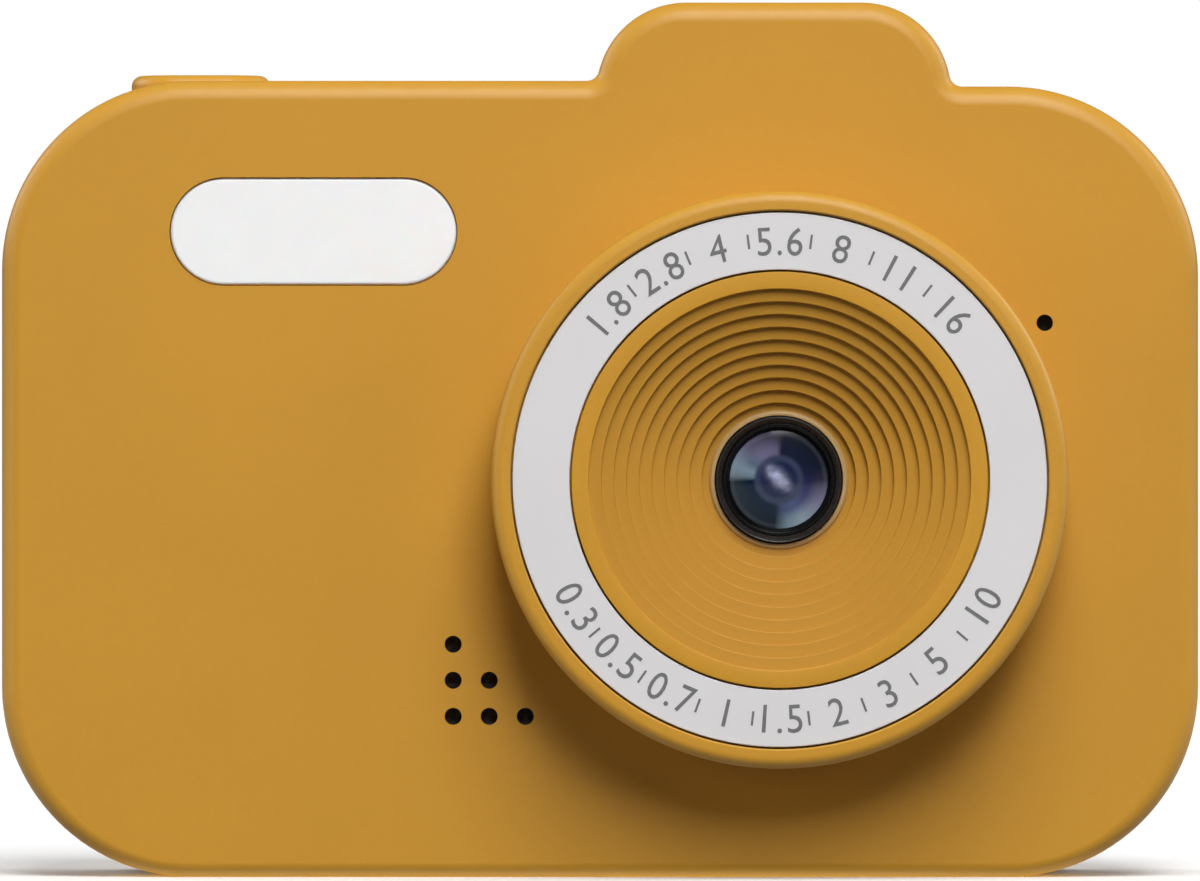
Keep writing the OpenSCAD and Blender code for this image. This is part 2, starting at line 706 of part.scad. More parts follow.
module direction_key(a) color("ivory") {
  c = [cos(a), sin(a)];
  slab(flange_y + flange_t, key_top - 0.3) translate(pad_at) rotate(a) petal(petal_in, pad_r, petal_gap);
  slab(key_top - 0.3, key_top) translate(pad_at) rotate(a)
    petal(petal_in + 0.25, pad_r - 0.25, petal_gap + 0.5);
  slab(flange_y, flange_y + flange_t) translate(pad_at) rotate(a)
    petal(petal_in, pad_r + flange_w, petal_gap);
  rod(pad_at + petal_centre * c, 1.3, flange_y - 0.6, flange_y + 0.1);
}

module round_key(at, r, flange) color("ivory") {
  rod(at, r, flange_y + flange_t, key_top - 0.3);
  rod(at, r - 0.25, key_top - 0.3, key_top);
  rod(at, r + flange, flange_y, flange_y + flange_t);
  rod(at, 1.3, flange_y - 0.6, flange_y + 0.1);
}

front_casing();
rear_casing();
lens_ring();
ring_insert();
lens_cone();
lens_barrel();
lens_retainer();
front_lens();
aperture_stop();
rear_lens();
lens_holder();
ir_filter();
image_sensor();
sensor_board();
sensor_flex();
ring_screws();
flash_window();
flash_reflector();
flash_leds();
flash_board();
flash_wires();
speaker_frame();
speaker_cone();
speaker_mesh();
speaker_wires();
microphone();
mic_boot();
mic_wires();
main_board();
board_chips();
usb_port();
card_socket();
reset_switch();
key_switches();
shutter_board();
shutter_switch();
battery();
battery_plug();
battery_wires();
display_window();
display_gasket();
display_panel();
display_backlight();
display_frame();
display_flex();
selfie_window();
selfie_camera();
casing_screws();
board_screws();
lanyard_pin();
memory_card();
shutter_button();
direction_key(90);  // up_key
direction_key(270);  // down_key
direction_key(180);  // left_key
direction_key(0);  // right_key
round_key(pad_at, ok_r, 0);  // ok_key
round_key(power_at, small_key_r, flange_w);  // power_key
round_key(menu_at, small_key_r, flange_w);  // menu_key
round_key(play_at, small_key_r, flange_w);  // play_key
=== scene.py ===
"""Looks of a children's digital camera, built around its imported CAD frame.

Geometry is written in millimetres and scaled once, when a mesh is made. The lens looks along -Y,
+X is to the right as seen from the front, and +Z is up.
"""
import json
import math

import bmesh
import bpy
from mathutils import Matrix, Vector


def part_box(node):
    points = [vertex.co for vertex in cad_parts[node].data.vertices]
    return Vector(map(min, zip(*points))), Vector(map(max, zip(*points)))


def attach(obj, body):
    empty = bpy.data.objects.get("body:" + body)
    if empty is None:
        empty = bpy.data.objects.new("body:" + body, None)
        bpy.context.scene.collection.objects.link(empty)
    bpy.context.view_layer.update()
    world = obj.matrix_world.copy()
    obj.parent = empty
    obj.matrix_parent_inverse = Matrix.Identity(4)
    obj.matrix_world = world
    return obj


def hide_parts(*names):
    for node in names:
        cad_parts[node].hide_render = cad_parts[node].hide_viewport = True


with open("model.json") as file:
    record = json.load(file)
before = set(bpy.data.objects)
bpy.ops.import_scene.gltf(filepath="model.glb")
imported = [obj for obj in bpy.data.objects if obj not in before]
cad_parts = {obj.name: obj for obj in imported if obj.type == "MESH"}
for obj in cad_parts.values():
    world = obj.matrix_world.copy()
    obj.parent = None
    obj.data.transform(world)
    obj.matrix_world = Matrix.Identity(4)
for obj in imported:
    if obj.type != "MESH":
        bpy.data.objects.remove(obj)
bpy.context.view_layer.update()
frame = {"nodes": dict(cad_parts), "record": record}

MM = 0.001
SCENE = bpy.context.scene
ROOT = "camera_body"


# ---------- places taken from the frame

def box(node):
    """Lowest and highest corner of a CAD node, in millimetres."""
    low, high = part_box(node)
    return low / MM, high / MM


casing_low, casing_high = box("front_casing")
rear_low, rear_high = box("rear_casing")
ring_low, ring_high = box("lens_ring")
barrel_low, barrel_high = box("lens_barrel")
insert_low, insert_high = box("ring_insert")

HALF_W = casing_high.x
FACE = -casing_low.y
REAR = rear_high.y
PART_Y = rear_low.y
HUMP_TOP = casing_high.z
LENS = ((ring_low.x + ring_high.x) / 2, (ring_low.z + ring_high.z) / 2)
RING_R = (ring_high.x - ring_low.x) / 2
RING_FRONT = -ring_low.y
BARREL_R = (barrel_high.x - barrel_low.x) / 2
BARREL_FRONT = -barrel_low.y
BARREL_BACK = -barrel_high.y
INSERT_R = (insert_high.x - insert_low.x) / 2
INSERT_FRONT = RING_FRONT - 0.2
BUTTON_TOP = box("shutter_button")[1].z
KEY_TOP = box("ok_key")[1].y

# Sizes that the frame's boxes don't give
LEFT_H, RIGHT_H = 55.9, 55.5
CORNER_R = 13.3
FOOT_SHARE = 0.72              # height of the rounding along the base, per mm of its depth
HUMP_R, HUMP_SPAN, HUMP_X = 6.3, 12.3, 12.2
WEB_R = 0.9
WALL = 1.8
FRONT_ROUND, REAR_ROUND = 1.4, 2.0
TONGUE_H, TONGUE_IN = 1.0, 0.95
SEAM = 0.14
INNER = FACE - WALL
HUMP_Z = HUMP_TOP - HUMP_R
SLIP = 0.2                     # gap round a part that moves
OVERLAP = 0.3                  # how far a boss reaches into the wall that it stands on

FLASH_AT, FLASH_SIZE, FLASH_WELL, FLASH_LEDGE = (-20.1, 45.3), (20.2, 7.6), 1.2, 1.1
SOUND_AT, SOUND_PITCH, SOUND_R = (-10.3, 16.35), 2.53, 0.6
MIC_AT, MIC_HOLE_R = (31.2, 38.9), 0.58
SCREWS_AT = [(-36.6, 8.2), (36.6, 8.2), (-36.6, 47.6), (36.6, 47.6)]
POSTS_AT = [(-16.5, 5.8), (30, 5.8), (-16.5, 49.4), (30, 49.4)]
FRONT_BOSS_R, REAR_BOSS_R, POST_R, POST_END = 2.6, 2.8, 1.9, 5.2
PILOT_R, SHANK_HOLE_R, HEAD_HOLE_R, HEAD_SEAT = 1.0, 1.15, 2.0, 8.0
PAD_AT, PAD_R, PAD_HUB_R, PAD_GAP = (-27, 27), 9.5, 4.1, 0.5
OK_R, SMALL_KEY_R = 3.6, 2.6
SMALL_KEYS = {"power_key": (-27, 45.5), "menu_key": (-31, 11.6), "play_key": (-23, 11.6)}
WINDOW_AT, WINDOW_SIZE, WINDOW_T = (9, 28), (49, 38), 1.3
APERTURE_SIZE, DISPLAY_SIZE = (43.6, 32.6), (40.6, 30.5)
SELFIE_AT, SELFIE_R, SELFIE_WELL, SELFIE_LENS_R = (12.3, 54), 3.6, 1.2, 1.3
SHUTTER_AT, SHUTTER_SIZE, SHUTTER_FLANGE = (-28.2, -3.2), (9.8, 7), 52.4
USB_Z, USB_SIZE = 35, (3.2, 8.9)
CARD_Z, CARD_SLOT = 20, (1.5, 11.6)
RESET_Z, RESET_R = 28.8, 0.6
LANYARD_AT, LANYARD_POCKET, LANYARD_FLOOR = (6.4, 14.5), (4.4, 6), -38.4
LANYARD_X, LANYARD_HOLE_R, LANYARD_REACH = -40.4, 0.82, 4.6
LIP_ROUND = 0.8
SHELF = RING_FRONT - 1.1       # the insert's seat in the ring
CONE_MOUTH_R, CONE_STEPS, STEP_H = 13.3, 10, 0.6
CONE_FRONT = RING_FRONT - 0.1
CONE_FLOOR = CONE_FRONT - CONE_STEPS * STEP_H
CONE_BORE = BARREL_R + 0.08
BARREL_BORE = BARREL_R - 0.45
FRONT_GLASS_R = BARREL_R - 0.58
KEEPER_R = BARREL_R - 0.98     # the part of the front glass that shows
TAIL_R, WELL_R, STOP_R = 2.0, 2.7, 3.4                 # inside the barrel, from the back
REAR_SEAT, STOP_SEAT, GLASS_SEAT = 8.0, 12.2, 13.2     # how far forward its ledges are
PRINT_OUT, PRINT_IN = 0.02, 0.03                       # how far print stands out and reaches in


# ---------- outlines: each gives a function of inset

def arc(centre, radius, start, end, steps, upright=None):
    """Points on an arc, which is elliptical if its upright radius is given too."""
    tall = upright or radius
    turn = [math.radians(start + (end - start) * i / steps) for i in range(steps + 1)]
    return [(centre[0] + radius * math.cos(t), centre[1] + tall * math.sin(t)) for t in turn]


def circle(centre, radius, steps=64):
    return lambda inset=0: arc(centre, radius - inset, 0, 360 * (1 - 1 / steps), steps - 1)


def rect(centre, size, radius, steps=10):
    def outline(inset=0):
        x, z = size[0] / 2 - radius, size[1] / 2 - radius
        points = []
        for (sx, sz), start in zip(((1, 1), (-1, 1), (-1, -1), (1, -1)), (0, 90, 180, 270)):
            at = (centre[0] + sx * x, centre[1] + sz * z)
            points += arc(at, radius - inset, start, start + 90, steps)
        return points
    return outline


def cross(centre, reach, half):
    """A plus sign with arms that reach so far from the centre and are twice half wide."""
    def outline(inset=0):
        tip, side = reach - inset, half - inset
        arm = [(tip, -side), (tip, side), (side, side)]
        quarters = ((1, 0), (0, 1), (-1, 0), (0, -1))
        return [(centre[0] + c * u - s * v, centre[1] + s * u + c * v)
                for c, s in quarters for u, v in arm]
    return outline


def pill(centre, size, steps=28):
    """A stadium, long in either direction."""
    radius, reach = min(size) / 2, abs(size[0] - size[1]) / 2
    lying = size[0] > size[1]
    def outline(inset=0):
        points = []
        for side, start in ((1, -90 if lying else 0), (-1, 90 if lying else 180)):
            at = (centre[0] + side * reach * lying, centre[1] + side * reach * (not lying))
            points += arc(at, radius - inset, start, start + 180, steps)
        return points
    return outline


def web_place(shoulder):
    """Reach and angle of the hollow fillet's centre from the hump's arc centre beside it."""
    rise = shoulder + WEB_R - HUMP_Z
    reach = math.sqrt((HUMP_R + WEB_R) ** 2 - rise ** 2)
    return reach, math.degrees(math.atan2(rise, reach))


def casing_outline(inset=0):
    """The casing seen from the front: four round corners, a hump, and a hollow fillet each side."""
    cx, r = HALF_W - CORNER_R, CORNER_R - inset
    foot = CORNER_R - FOOT_SHARE * inset
    right, left = HUMP_X + HUMP_SPAN / 2, HUMP_X - HUMP_SPAN / 2
    reach_r, angle_r = web_place(RIGHT_H)
    reach_l, angle_l = web_place(LEFT_H)
    return (
        arc((cx, CORNER_R), r, -90, 0, 30, foot)
        + arc((cx, RIGHT_H - CORNER_R), r, 0, 90, 30)
        + arc((right + reach_r, RIGHT_H + WEB_R), WEB_R + inset, 270, 180 + angle_r, 8)
        + arc((right, HUMP_Z), HUMP_R - inset, angle_r, 90, 22)
        + arc((left, HUMP_Z), HUMP_R - inset, 90, 180 - angle_l, 22)
        + arc((left - reach_l, LEFT_H + WEB_R), WEB_R + inset, -angle_l, -90, 8)
        + arc((-cx, LEFT_H - CORNER_R), r, 90, 180, 30)
        + arc((-cx, CORNER_R), r, 180, 270, 30, foot)
    )


def spot(centre, reach, angle):
    """The point at a distance and an angle from the centre."""
    turn = math.radians(angle)
    return centre[0] + reach * math.cos(turn), centre[1] + reach * math.sin(turn)


def petal(angle, round_r=0.55):
    """A quarter of a ring round the pad's centre, pointing at angle, with rounded corners."""
    def outline(inset=0):
        outer, hub, c = PAD_R - inset, PAD_HUB_R + inset, round_r - inset
        side = PAD_GAP / 2 + inset + c     # from a corner's centre to the gap's middle line
        half_out = 45 - math.degrees(math.asin(side / (outer - c)))
        half_in = 45 - math.degrees(math.asin(side / (hub + c)))
        outer_at = [spot(PAD_AT, outer - c, angle + half) for half in (half_out, -half_out)]
        hub_at = [spot(PAD_AT, hub + c, angle + half) for half in (half_in, -half_in)]
        return (
            arc(PAD_AT, outer, angle - half_out, angle + half_out, 26)[1:-1]
            + arc(outer_at[0], c, angle + half_out, angle + 135, 6)
            + arc(hub_at[0], c, angle + 135, angle + 180 + half_in, 6)
            + arc(PAD_AT, hub, angle + half_in, angle - half_in, 18)[1:-1]
            + arc(hub_at[1], c, angle - 180 - half_in, angle - 135, 6)
            + arc(outer_at[1], c, angle - 135, angle - half_out, 6)
        )
    return outline


# ---------- meshes

PLANES = {
    "front": lambda u, v, depth: (u, depth, v),
    "top": lambda u, v, depth: (u, v, depth),
    "side": lambda u, v, depth: (depth, u, v),
}


def skin(bm, loops, closed):
    """Quads between successive loops of the same length; one-point loops are poles."""
    pairs = list(zip(loops, loops[1:])) + ([(loops[-1], loops[0])] if closed else [])
    for a, b in pairs:
        count = max(len(a), len(b))
        for i in range(count):
            j = (i + 1) % count
            corners = [a[i % len(a)], a[j % len(a)], b[j % len(b)], b[i % len(b)]]
            unique = list(dict.fromkeys(corners))
            if len(unique) > 2:
                bm.faces.new(unique)


def loft(outline, layers, plane="front", closed=False):
    """A solid through the outline at each (depth, inset). Closed layers make a ring, others get caps."""
    bm = bmesh.new()
    put = PLANES[plane]
    loops = [[bm.verts.new(Vector(put(u, v, depth)) * MM) for u, v in outline(inset)]
             for depth, inset in layers]
    skin(bm, loops, closed)
    if not closed:
        bm.faces.new(loops[0])
        bm.faces.new(loops[-1])
    return bm


def rod(outline, near, far, plane="front"):
    """The outline between two depths, with plain edges."""
    return loft(outline, [(near, 0), (far, 0)], plane)


def rounded_edge(depth, radius, turn, steps=6):
    """Layers from a flat face at depth round into the side. turn is the way the solid lies."""
    angles = [math.pi / 2 * i / steps for i in range(steps + 1)]
    return [(depth + turn * radius * (1 - math.cos(t)), radius * (1 - math.sin(t))) for t in angles]


def prism(outline, near, far, near_round, far_round, plane="front"):
    layers = rounded_edge(near, near_round, 1) + rounded_edge(far, far_round, -1)[::-1]
    return loft(outline, layers, plane)


def hole(outline, face, floor, rim=0.15, plane="front"):
    """A cutter from outside face to floor that leaves a rounded rim."""
    way = 1 if floor > face else -1
    flare = [(d, i - rim) for d, i in rounded_edge(face, rim, way)]
    return loft(outline, [(face - way, -rim)] + flare + [(floor, 0)], plane)


def soften(profile, radius, steps=4):
    """The closed profile with a small curve at each corner."""
    out = []
    for i, point in enumerate(profile):
        here = Vector(point)
        before, after = Vector(profile[i - 1]), Vector(profile[(i + 1) % len(profile)])
        reach = min(radius, 0.45 * (before - here).length, 0.45 * (after - here).length)
        start = here + (before - here).normalized() * reach
        end = here + (after - here).normalized() * reach
        for k in range(steps + 1):
            u = k / steps
            out.append(tuple((1 - u) ** 2 * start + 2 * u * (1 - u) * here + u * u * end))
    return out


def lathe(profile, centre=LENS, segments=192, closed=True):
    """Turns (radius, distance forward) points about an axis along Y."""
    bm = bmesh.new()
    loops = []
    for radius, forward in profile:
        count = 1 if radius < 1e-6 else segments
        loops.append([bm.verts.new(Vector((
            centre[0] + radius * math.cos(math.tau * i / count),
            -forward,
            centre[1] + radius * math.sin(math.tau * i / count))) * MM) for i in range(count)])
    skin(bm, loops, closed)
    return bm


def opened(mesh):
    bm = bmesh.new()
    bm.from_mesh(mesh)
    return bm


def joined(*parts):
    """One bmesh from several."""
    whole = bmesh.new()
    for part in parts:
        scratch = bpy.data.meshes.new("scratch")
        part.to_mesh(scratch)
        part.free()
        whole.from_mesh(scratch)
        bpy.data.meshes.remove(scratch)
    return whole


def link_object(name, data):
    made = bpy.data.objects.new(name, data)
    SCENE.collection.objects.link(made)
    return made


def mesh_object(name, bm):
    bmesh.ops.recalc_face_normals(bm, faces=bm.faces)
    mesh = bpy.data.meshes.new(name)
    bm.to_mesh(mesh)
    bm.free()
    return link_object(name, mesh)


def solved_mesh(obj):
    """A new mesh of the object as it is after its modifiers, or of its filled curves."""
    bpy.context.view_layer.update()
    return bpy.data.meshes.new_from_object(obj.evaluated_get(bpy.context.evaluated_depsgraph_get()))


def boolean(target, bm, operation="DIFFERENCE"):
    """Adds or removes a solid, and applies it."""
    tool = mesh_object("tool", bm)
    step = target.modifiers.new("boolean", "BOOLEAN")
    step.operation, step.object, step.solver = operation, tool, "EXACT"
    result = solved_mesh(target)
    target.modifiers.clear()
    target.data = result
    spent = tool.data
    bpy.data.objects.remove(tool)
    bpy.data.meshes.remove(spent)


def add(target, bm):
    boolean(target, bm, "UNION")


def smooth(piece, sharp=32):
    """Smooth faces, with edges over the sharp angle kept crisp and flat faces kept flat."""
    mesh = piece.data
    for face in mesh.polygons:
        face.use_smooth = True
    bm = opened(mesh)
    for edge in bm.edges:
        edge.smooth = len(edge.link_faces) == 2 and edge.calc_face_angle(0) < math.radians(sharp)
    bm.to_mesh(mesh)
    bm.free()
    step = piece.modifiers.new("flat faces", "WEIGHTED_NORMAL")
    step.keep_sharp = True


def finish_piece(piece, material, slot, body=ROOT, replaces=()):
    piece.data.materials.clear()
    piece.data.materials.append(material)
    smooth(piece)
    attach(piece, body)
    if replaces:
        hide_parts(*replaces)


def make(name, bm, material, slot, body=ROOT):
    finish_piece(mesh_object(name, bm), material, slot, body)


def make_in(slot, name, bm):
    """A piece of its own in one of the record's finishes."""
    make(name, bm, MATERIALS[slot], slot)


# ---------- materials

class Shader:
    """A Principled material whose patterns are placed by object coordinates."""

    def __init__(self, name):
        self.material = bpy.data.materials.new(name)
        self.material.use_nodes = True
        self.tree = self.material.node_tree
        self.surface = self.tree.nodes["Principled BSDF"]
        place = self.tree.nodes.new("ShaderNodeTexCoord").outputs
        self.coords, self.normals = place["Object"], place["Normal"]

    def node(self, kind, inputs=None, **settings):
        made = self.tree.nodes.new(kind)
        for key, value in settings.items():
            setattr(made, key, value)
        for key, value in (inputs or {}).items():
            self.set(made, key, value)
        return made

    def set(self, node, key, value):
        socket = node.inputs[key]
        if isinstance(value, bpy.types.NodeSocket):
            self.tree.links.new(value, socket)
        else:
            socket.default_value = value

    def put(self, **values):
        for key, value in values.items():
            self.set(self.surface, key.replace("_", " "), value)

    def look(self, base, grain, smoothest, roughest, **others):
        """Colour, roughness between two values by a noise value, and anything else."""
        self.put(Base_Color=base, Roughness=self.span(grain, smoothest, roughest), **others)

    def pattern(self, kind, size_mm, output="Fac", inputs=None, **settings):
        """A texture whose cells are about so many mm across."""
        placed = {"Vector": self.coords, "Scale": 1 / (size_mm * MM), **(inputs or {})}
        return self.node(kind, placed, **settings).outputs[output]

    def noise(self, size_mm, detail=3.0, rough=0.5):
        return self.pattern("ShaderNodeTexNoise", size_mm, inputs={"Detail": detail, "Roughness": rough})

    def climb(self, value, start, end, low=0.0, high=1.0):
        """Goes from low to high while the value goes from start to end, and is level outside them."""
        return self.node("ShaderNodeMapRange", {
            "Value": value, "From Min": start, "From Max": end, "To Min": low, "To Max": high,
        }).outputs["Result"]

    def span(self, value, low, high):
        """A noise value stretched from low to high."""
        return self.climb(value, 0.25, 0.75, low, high)

    def mix(self, amount, first, second, blend="MIX"):
        made = self.node("ShaderNodeMix", data_type="RGBA", blend_type=blend)
        self.set(made, 0, amount)
        self.set(made, 6, first)
        self.set(made, 7, second)
        return made.outputs[2]

    def maths(self, operation, first, second=0.0):
        made = self.node("ShaderNodeMath", operation=operation)
        self.set(made, 0, first)
        self.set(made, 1, second)
        return made.outputs[0]

    def times(self, first, second):
        return self.maths("MULTIPLY", first, second)

    def plus(self, first, second):
        return self.maths("ADD", first, second)

    def minus(self, first, second):
        return self.maths("SUBTRACT", first, second)

    def two_tone(self, value, colour, darkest, brightest):
        """A colour between two brightnesses by a noise value."""
        return self.mix(self.span(value, 0, 1), rgba(colour, darkest), rgba(colour, brightest))

    def split(self, vector):
        return self.node("ShaderNodeSeparateXYZ", {"Vector": vector}).outputs

    def edge(self, axis, patch_mm=1.6):
        """0 on flat faces and on sides, and up to 1 on the rounding between them, in patches: the mask for
        edge wear and the painted sheen of the roundings.
        """
        facing = self.split(self.normals)[axis]
        flat = self.times(facing, facing)
        tilted = self.minus(1.0, flat)
        rounding = self.times(self.times(flat, tilted), 4.0)
        return self.times(rounding, self.span(self.noise(patch_mm, 5, 0.65), 0.35, 1.0))

    def bump(self, *layers):
        """Each layer is (height, depth in mm). Gives back the finished material."""
        normal = None
        for height, depth in layers:
            inputs = {"Height": height, "Distance": depth * MM, "Strength": 1.0}
            if normal is not None:
                inputs["Normal"] = normal
            normal = self.node("ShaderNodeBump", inputs).outputs["Normal"]
        self.put(Normal=normal)
        return self.material


def rgba(colour, factor=1.0):
    return tuple(min(1.0, c * factor) for c in colour[:3]) + (1.0,)


def moulded(name, colour, roughness=0.45, grain=0.35, depth=0.006, tint=0.03, specular=0.5,
            wear_and_sheen=None, wear_and_sheen_axis="Y", shade=None):
    """Moulded plastic: spark-eroded grain, faint colour changes, uneven gloss and, when given, an edge
    colour for wear, which on the mustard is also paler and whiter as a painted sheen on the roundings.
    """
    s = Shader(name)
    broad, fine, waves = s.noise(14, 2), s.noise(grain, 4, 0.6), s.noise(2.6, 2)
    toned = s.two_tone(broad, colour, 1 - tint, 1 + tint)
    base = s.mix(s.span(fine, 0, 0.35), toned, rgba(colour, 1 - 2.5 * tint))
    rough = s.span(fine, roughness - 0.05, roughness + 0.07)
    # edge wear, and on the mustard also a painted sheen on the roundings
    if wear_and_sheen:
        edge_wear_and_sheen = s.edge(wear_and_sheen_axis)
        base = s.mix(s.times(edge_wear_and_sheen, 0.42), base, rgba(wear_and_sheen))
        rough = s.minus(rough, s.times(edge_wear_and_sheen, 0.09))
    # painted shade, multiplied into the colour
    if shade:
        base = s.mix(1.0, base, shade(s), "MULTIPLY")
    s.put(Base_Color=base, Roughness=rough, Specular_IOR_Level=specular)
    return s.bump((fine, depth), (waves, depth * 1.5))


def cone_shade(s):
    """Painted shade: a darker colour inside the mouth of the stepped cone, standing in for the shade in its
    recess.
    """
    shade_level = s.climb(polar(s)[2], CONE_MOUTH_R - 0.1, CONE_MOUTH_R + 0.05, CONE_SHADE_FACTOR, 1.0)
    grey = s.node("ShaderNodeCombineColor", {"Red": shade_level, "Green": shade_level, "Blue": shade_level})
    return grey.outputs["Color"]


def printed_white():
    s = Shader("printed white")
    fibre = s.noise(0.5, 4, 0.6)
    base = (0.66, 0.645, 0.65)
    s.look(s.two_tone(s.noise(8), base, 0.985, 1.015), fibre, 0.5, 0.62)
    return s.bump((fibre, 0.003))


def ink(name, colour):
    s = Shader(name)
    wear = s.noise(0.25, 5, 0.7)
    s.look(s.two_tone(wear, colour, 0.85, 1.2), wear, 0.45, 0.65)
    return s.bump((wear, 0.002))


def diffuser():
    s = Shader("milky diffuser")
    cloud, fine = s.noise(2.2, 3), s.noise(0.3, 4)
    base = (0.875, 0.878, 0.878)
    s.look(s.two_tone(cloud, base, 0.988, 1.01), fine, 0.28, 0.42,
           Subsurface_Weight=0.25, Subsurface_Scale=0.6 * MM)
    return s.bump((fine, 0.003))


def black_plastic(name, colour, edge_wear_and_sheen, specular):
    """Fine-grained black, paler and a little brown along its edges: edge wear, and a painted sheen whose
    brown paints the reflection of the yellow round it.
    """
    s = Shader(name)
    grain = s.noise(0.22, 4, 0.6)
    clean = s.two_tone(s.noise(3), colour, 0.8, 1.5)
    s.look(s.mix(s.edge("Y", 0.8), clean, rgba(edge_wear_and_sheen)), grain, 0.22, 0.34, Specular_IOR_Level=specular)
    return s.bump((grain, 0.002))


def polar(s, centre=LENS, unit=1.0):
    """Places across and up from an axis along Y, the distance from it, all in units of so many mm,
    and the turn round it from 0 to 1, counted from +X."""
    place = s.split(s.coords)
    across, up = (s.maths("DIVIDE", s.minus(place[axis], at * MM), unit * MM)
                  for axis, at in zip(("X", "Z"), centre))
    squares = s.plus(s.times(across, across), s.times(up, up))
    turns = s.maths("DIVIDE", s.maths("ARCTAN2", up, across), math.tau)
    return across, up, s.maths("SQRT", squares), s.maths("FRACT", s.plus(turns, 1.0))


def ramp(s, value, stops):
    """A colour ramp through (place, colour) stops."""
    made = s.node("ShaderNodeValToRGB", {"Fac": value})
    points = made.color_ramp.elements
    for point, (place, colour) in zip(points, (stops[0], stops[-1])):
        point.position, point.color = place, rgba(colour)
    for place, colour in stops[1:-1]:
        points.new(place).color = rgba(colour)
    return made.outputs["Color"]


def coated_glass(name, centre, radius):
    """Dark glass with the view into its inner barrel painted on it. A painted highlight, a soft pale band,
    crosses the deep blue middle;
    outside that, painted reflections in the lens coat turn from violet to teal in two opposite sectors, and
    a painted glint runs round near the rim. Places are shares of the radius."""
    s = Shader(name)
    across, up, reach, turn = polar(s, centre, radius)
    night, dusk, indigo = (0.009, 0.013, 0.034), (0.002, 0.012, 0.030), (0.014, 0.017, 0.056)
    violet, lilac, teal = (0.11, 0.10, 0.18), (0.145, 0.13, 0.235), (0.19, 0.26, 0.33)
    slate, coal = (0.024, 0.025, 0.042), (0.008, 0.011, 0.02)
    halfway = ramp(s, turn, [
        (0.0, indigo), (0.06, night), (0.235, night), (0.262, violet), (0.34, lilac),
        (0.415, (0.09, 0.13, 0.19)), (0.455, teal), (0.485, (0.13, 0.19, 0.24)), (0.505, dusk),
        (0.73, dusk), (0.77, (0.045, 0.065, 0.14)), (0.83, (0.06, 0.085, 0.19)),
        (0.93, (0.03, 0.032, 0.11)), (1.0, indigo)])
    outside = ramp(s, turn, [
        (0.0, slate), (0.05, coal), (0.23, coal), (0.262, (0.038, 0.036, 0.056)),
        (0.37, (0.10, 0.095, 0.155)), (0.45, teal), (0.485, (0.14, 0.19, 0.21)),
        (0.507, (0.016, 0.028, 0.036)), (0.735, (0.001, 0.006, 0.016)), (0.785, (0.15, 0.225, 0.27)),
        (0.835, (0.215, 0.285, 0.345)), (0.92, (0.145, 0.14, 0.235)), (1.0, slate)])
    # painted reflections in the lens coat, violet to teal
    sectors = s.mix(s.climb(reach, 0.64, 0.86), halfway, outside)
    middle = ramp(s, reach, [
        (0.0, (0.010, 0.015, 0.052)), (0.34, (0.012, 0.018, 0.055)), (0.41, (0.032, 0.044, 0.09)),
        (0.47, (0.036, 0.048, 0.092))])
    painted_reflections = s.mix(s.climb(reach, 0.46, 0.54), middle, sectors)
    black, grey = (0, 0, 0), (0.018, 0.018, 0.02)
    # a painted glint: a thin lighter ring near the rim, added to the colour
    glint = ramp(s, reach, [(0.89, black), (0.93, grey), (0.96, grey), (1.0, black)])
    lit = s.mix(1.0, painted_reflections, glint, "ADD")
    # the painted highlight, mixed in as a pale lilac blue
    painted_highlight = s.times(highlight_band(s, across, up), s.climb(reach, 0.31, 0.41, 0.95, 0.2))
    s.look(s.mix(painted_highlight, lit, (0.41, 0.435, 0.63, 1)), s.noise(1.4, 3), 0.1, 0.16,
           Specular_IOR_Level=0.08, Coat_Weight=0.11, Coat_Roughness=0.07)
    return s.material


def highlight_band(s, across, up):
    """The painted highlight: a soft uneven band near the middle, leaning from upper left to lower right. 1
    at its brightest.
    """
    shift_along, shift_up, narrow_along, narrow_across, uneven = 0.06, 0.02, 11.0, 68.0, 2.4
    diagonal = 0.7071
    lean = s.times(s.minus(across, up), diagonal)
    lean = s.plus(lean, shift_along)
    rise = s.times(s.plus(across, up), diagonal)
    rise = s.minus(rise, shift_up)
    long_part = s.times(s.times(lean, lean), narrow_along)
    wide_part = s.times(s.times(rise, rise), narrow_across)
    wobble = s.times(s.minus(s.noise(0.6, 2), 0.5), uneven)
    spread = s.plus(s.plus(long_part, wide_part), wobble)
    return s.maths("EXPONENT", s.times(spread, -1.0))


def screen_glass():
    """Black acrylic, a little greyer over the display's active area."""
    s = Shader("screen glass")
    place = s.split(s.coords)
    inside = 1.0
    for axis, centre, size in zip(("X", "Z"), WINDOW_AT, DISPLAY_SIZE):
        away = s.maths("ABSOLUTE", s.minus(place[axis], centre * MM))
        near = s.maths("LESS_THAN", away, size / 2 * MM)
        inside = s.times(near, inside)
    smear = s.noise(9, 4)
    dark = s.mix(s.span(smear, 0, 1), (0.004, 0.004, 0.005, 1), (0.007, 0.007, 0.008, 1))
    s.look(s.mix(inside, dark, (0.014, 0.016, 0.021, 1)), smear, 0.04, 0.09, Specular_IOR_Level=0.24)
    return s.bump((smear, 0.002))


def metal(name, colour, roughness=0.3, stretch=8.0):
    """Drawn or turned metal with fine directional marks."""
    s = Shader(name)
    pulled = s.node("ShaderNodeMapping", {"Vector": s.coords, "Scale": (1, stretch, 1)})
    marks = s.pattern("ShaderNodeTexNoise", 0.5, inputs={"Vector": pulled.outputs["Vector"], "Detail": 4.0})
    s.look(s.two_tone(marks, colour, 0.88, 1.05), marks, roughness - 0.08, roughness + 0.12, Metallic=1.0)
    return s.bump((marks, 0.002))


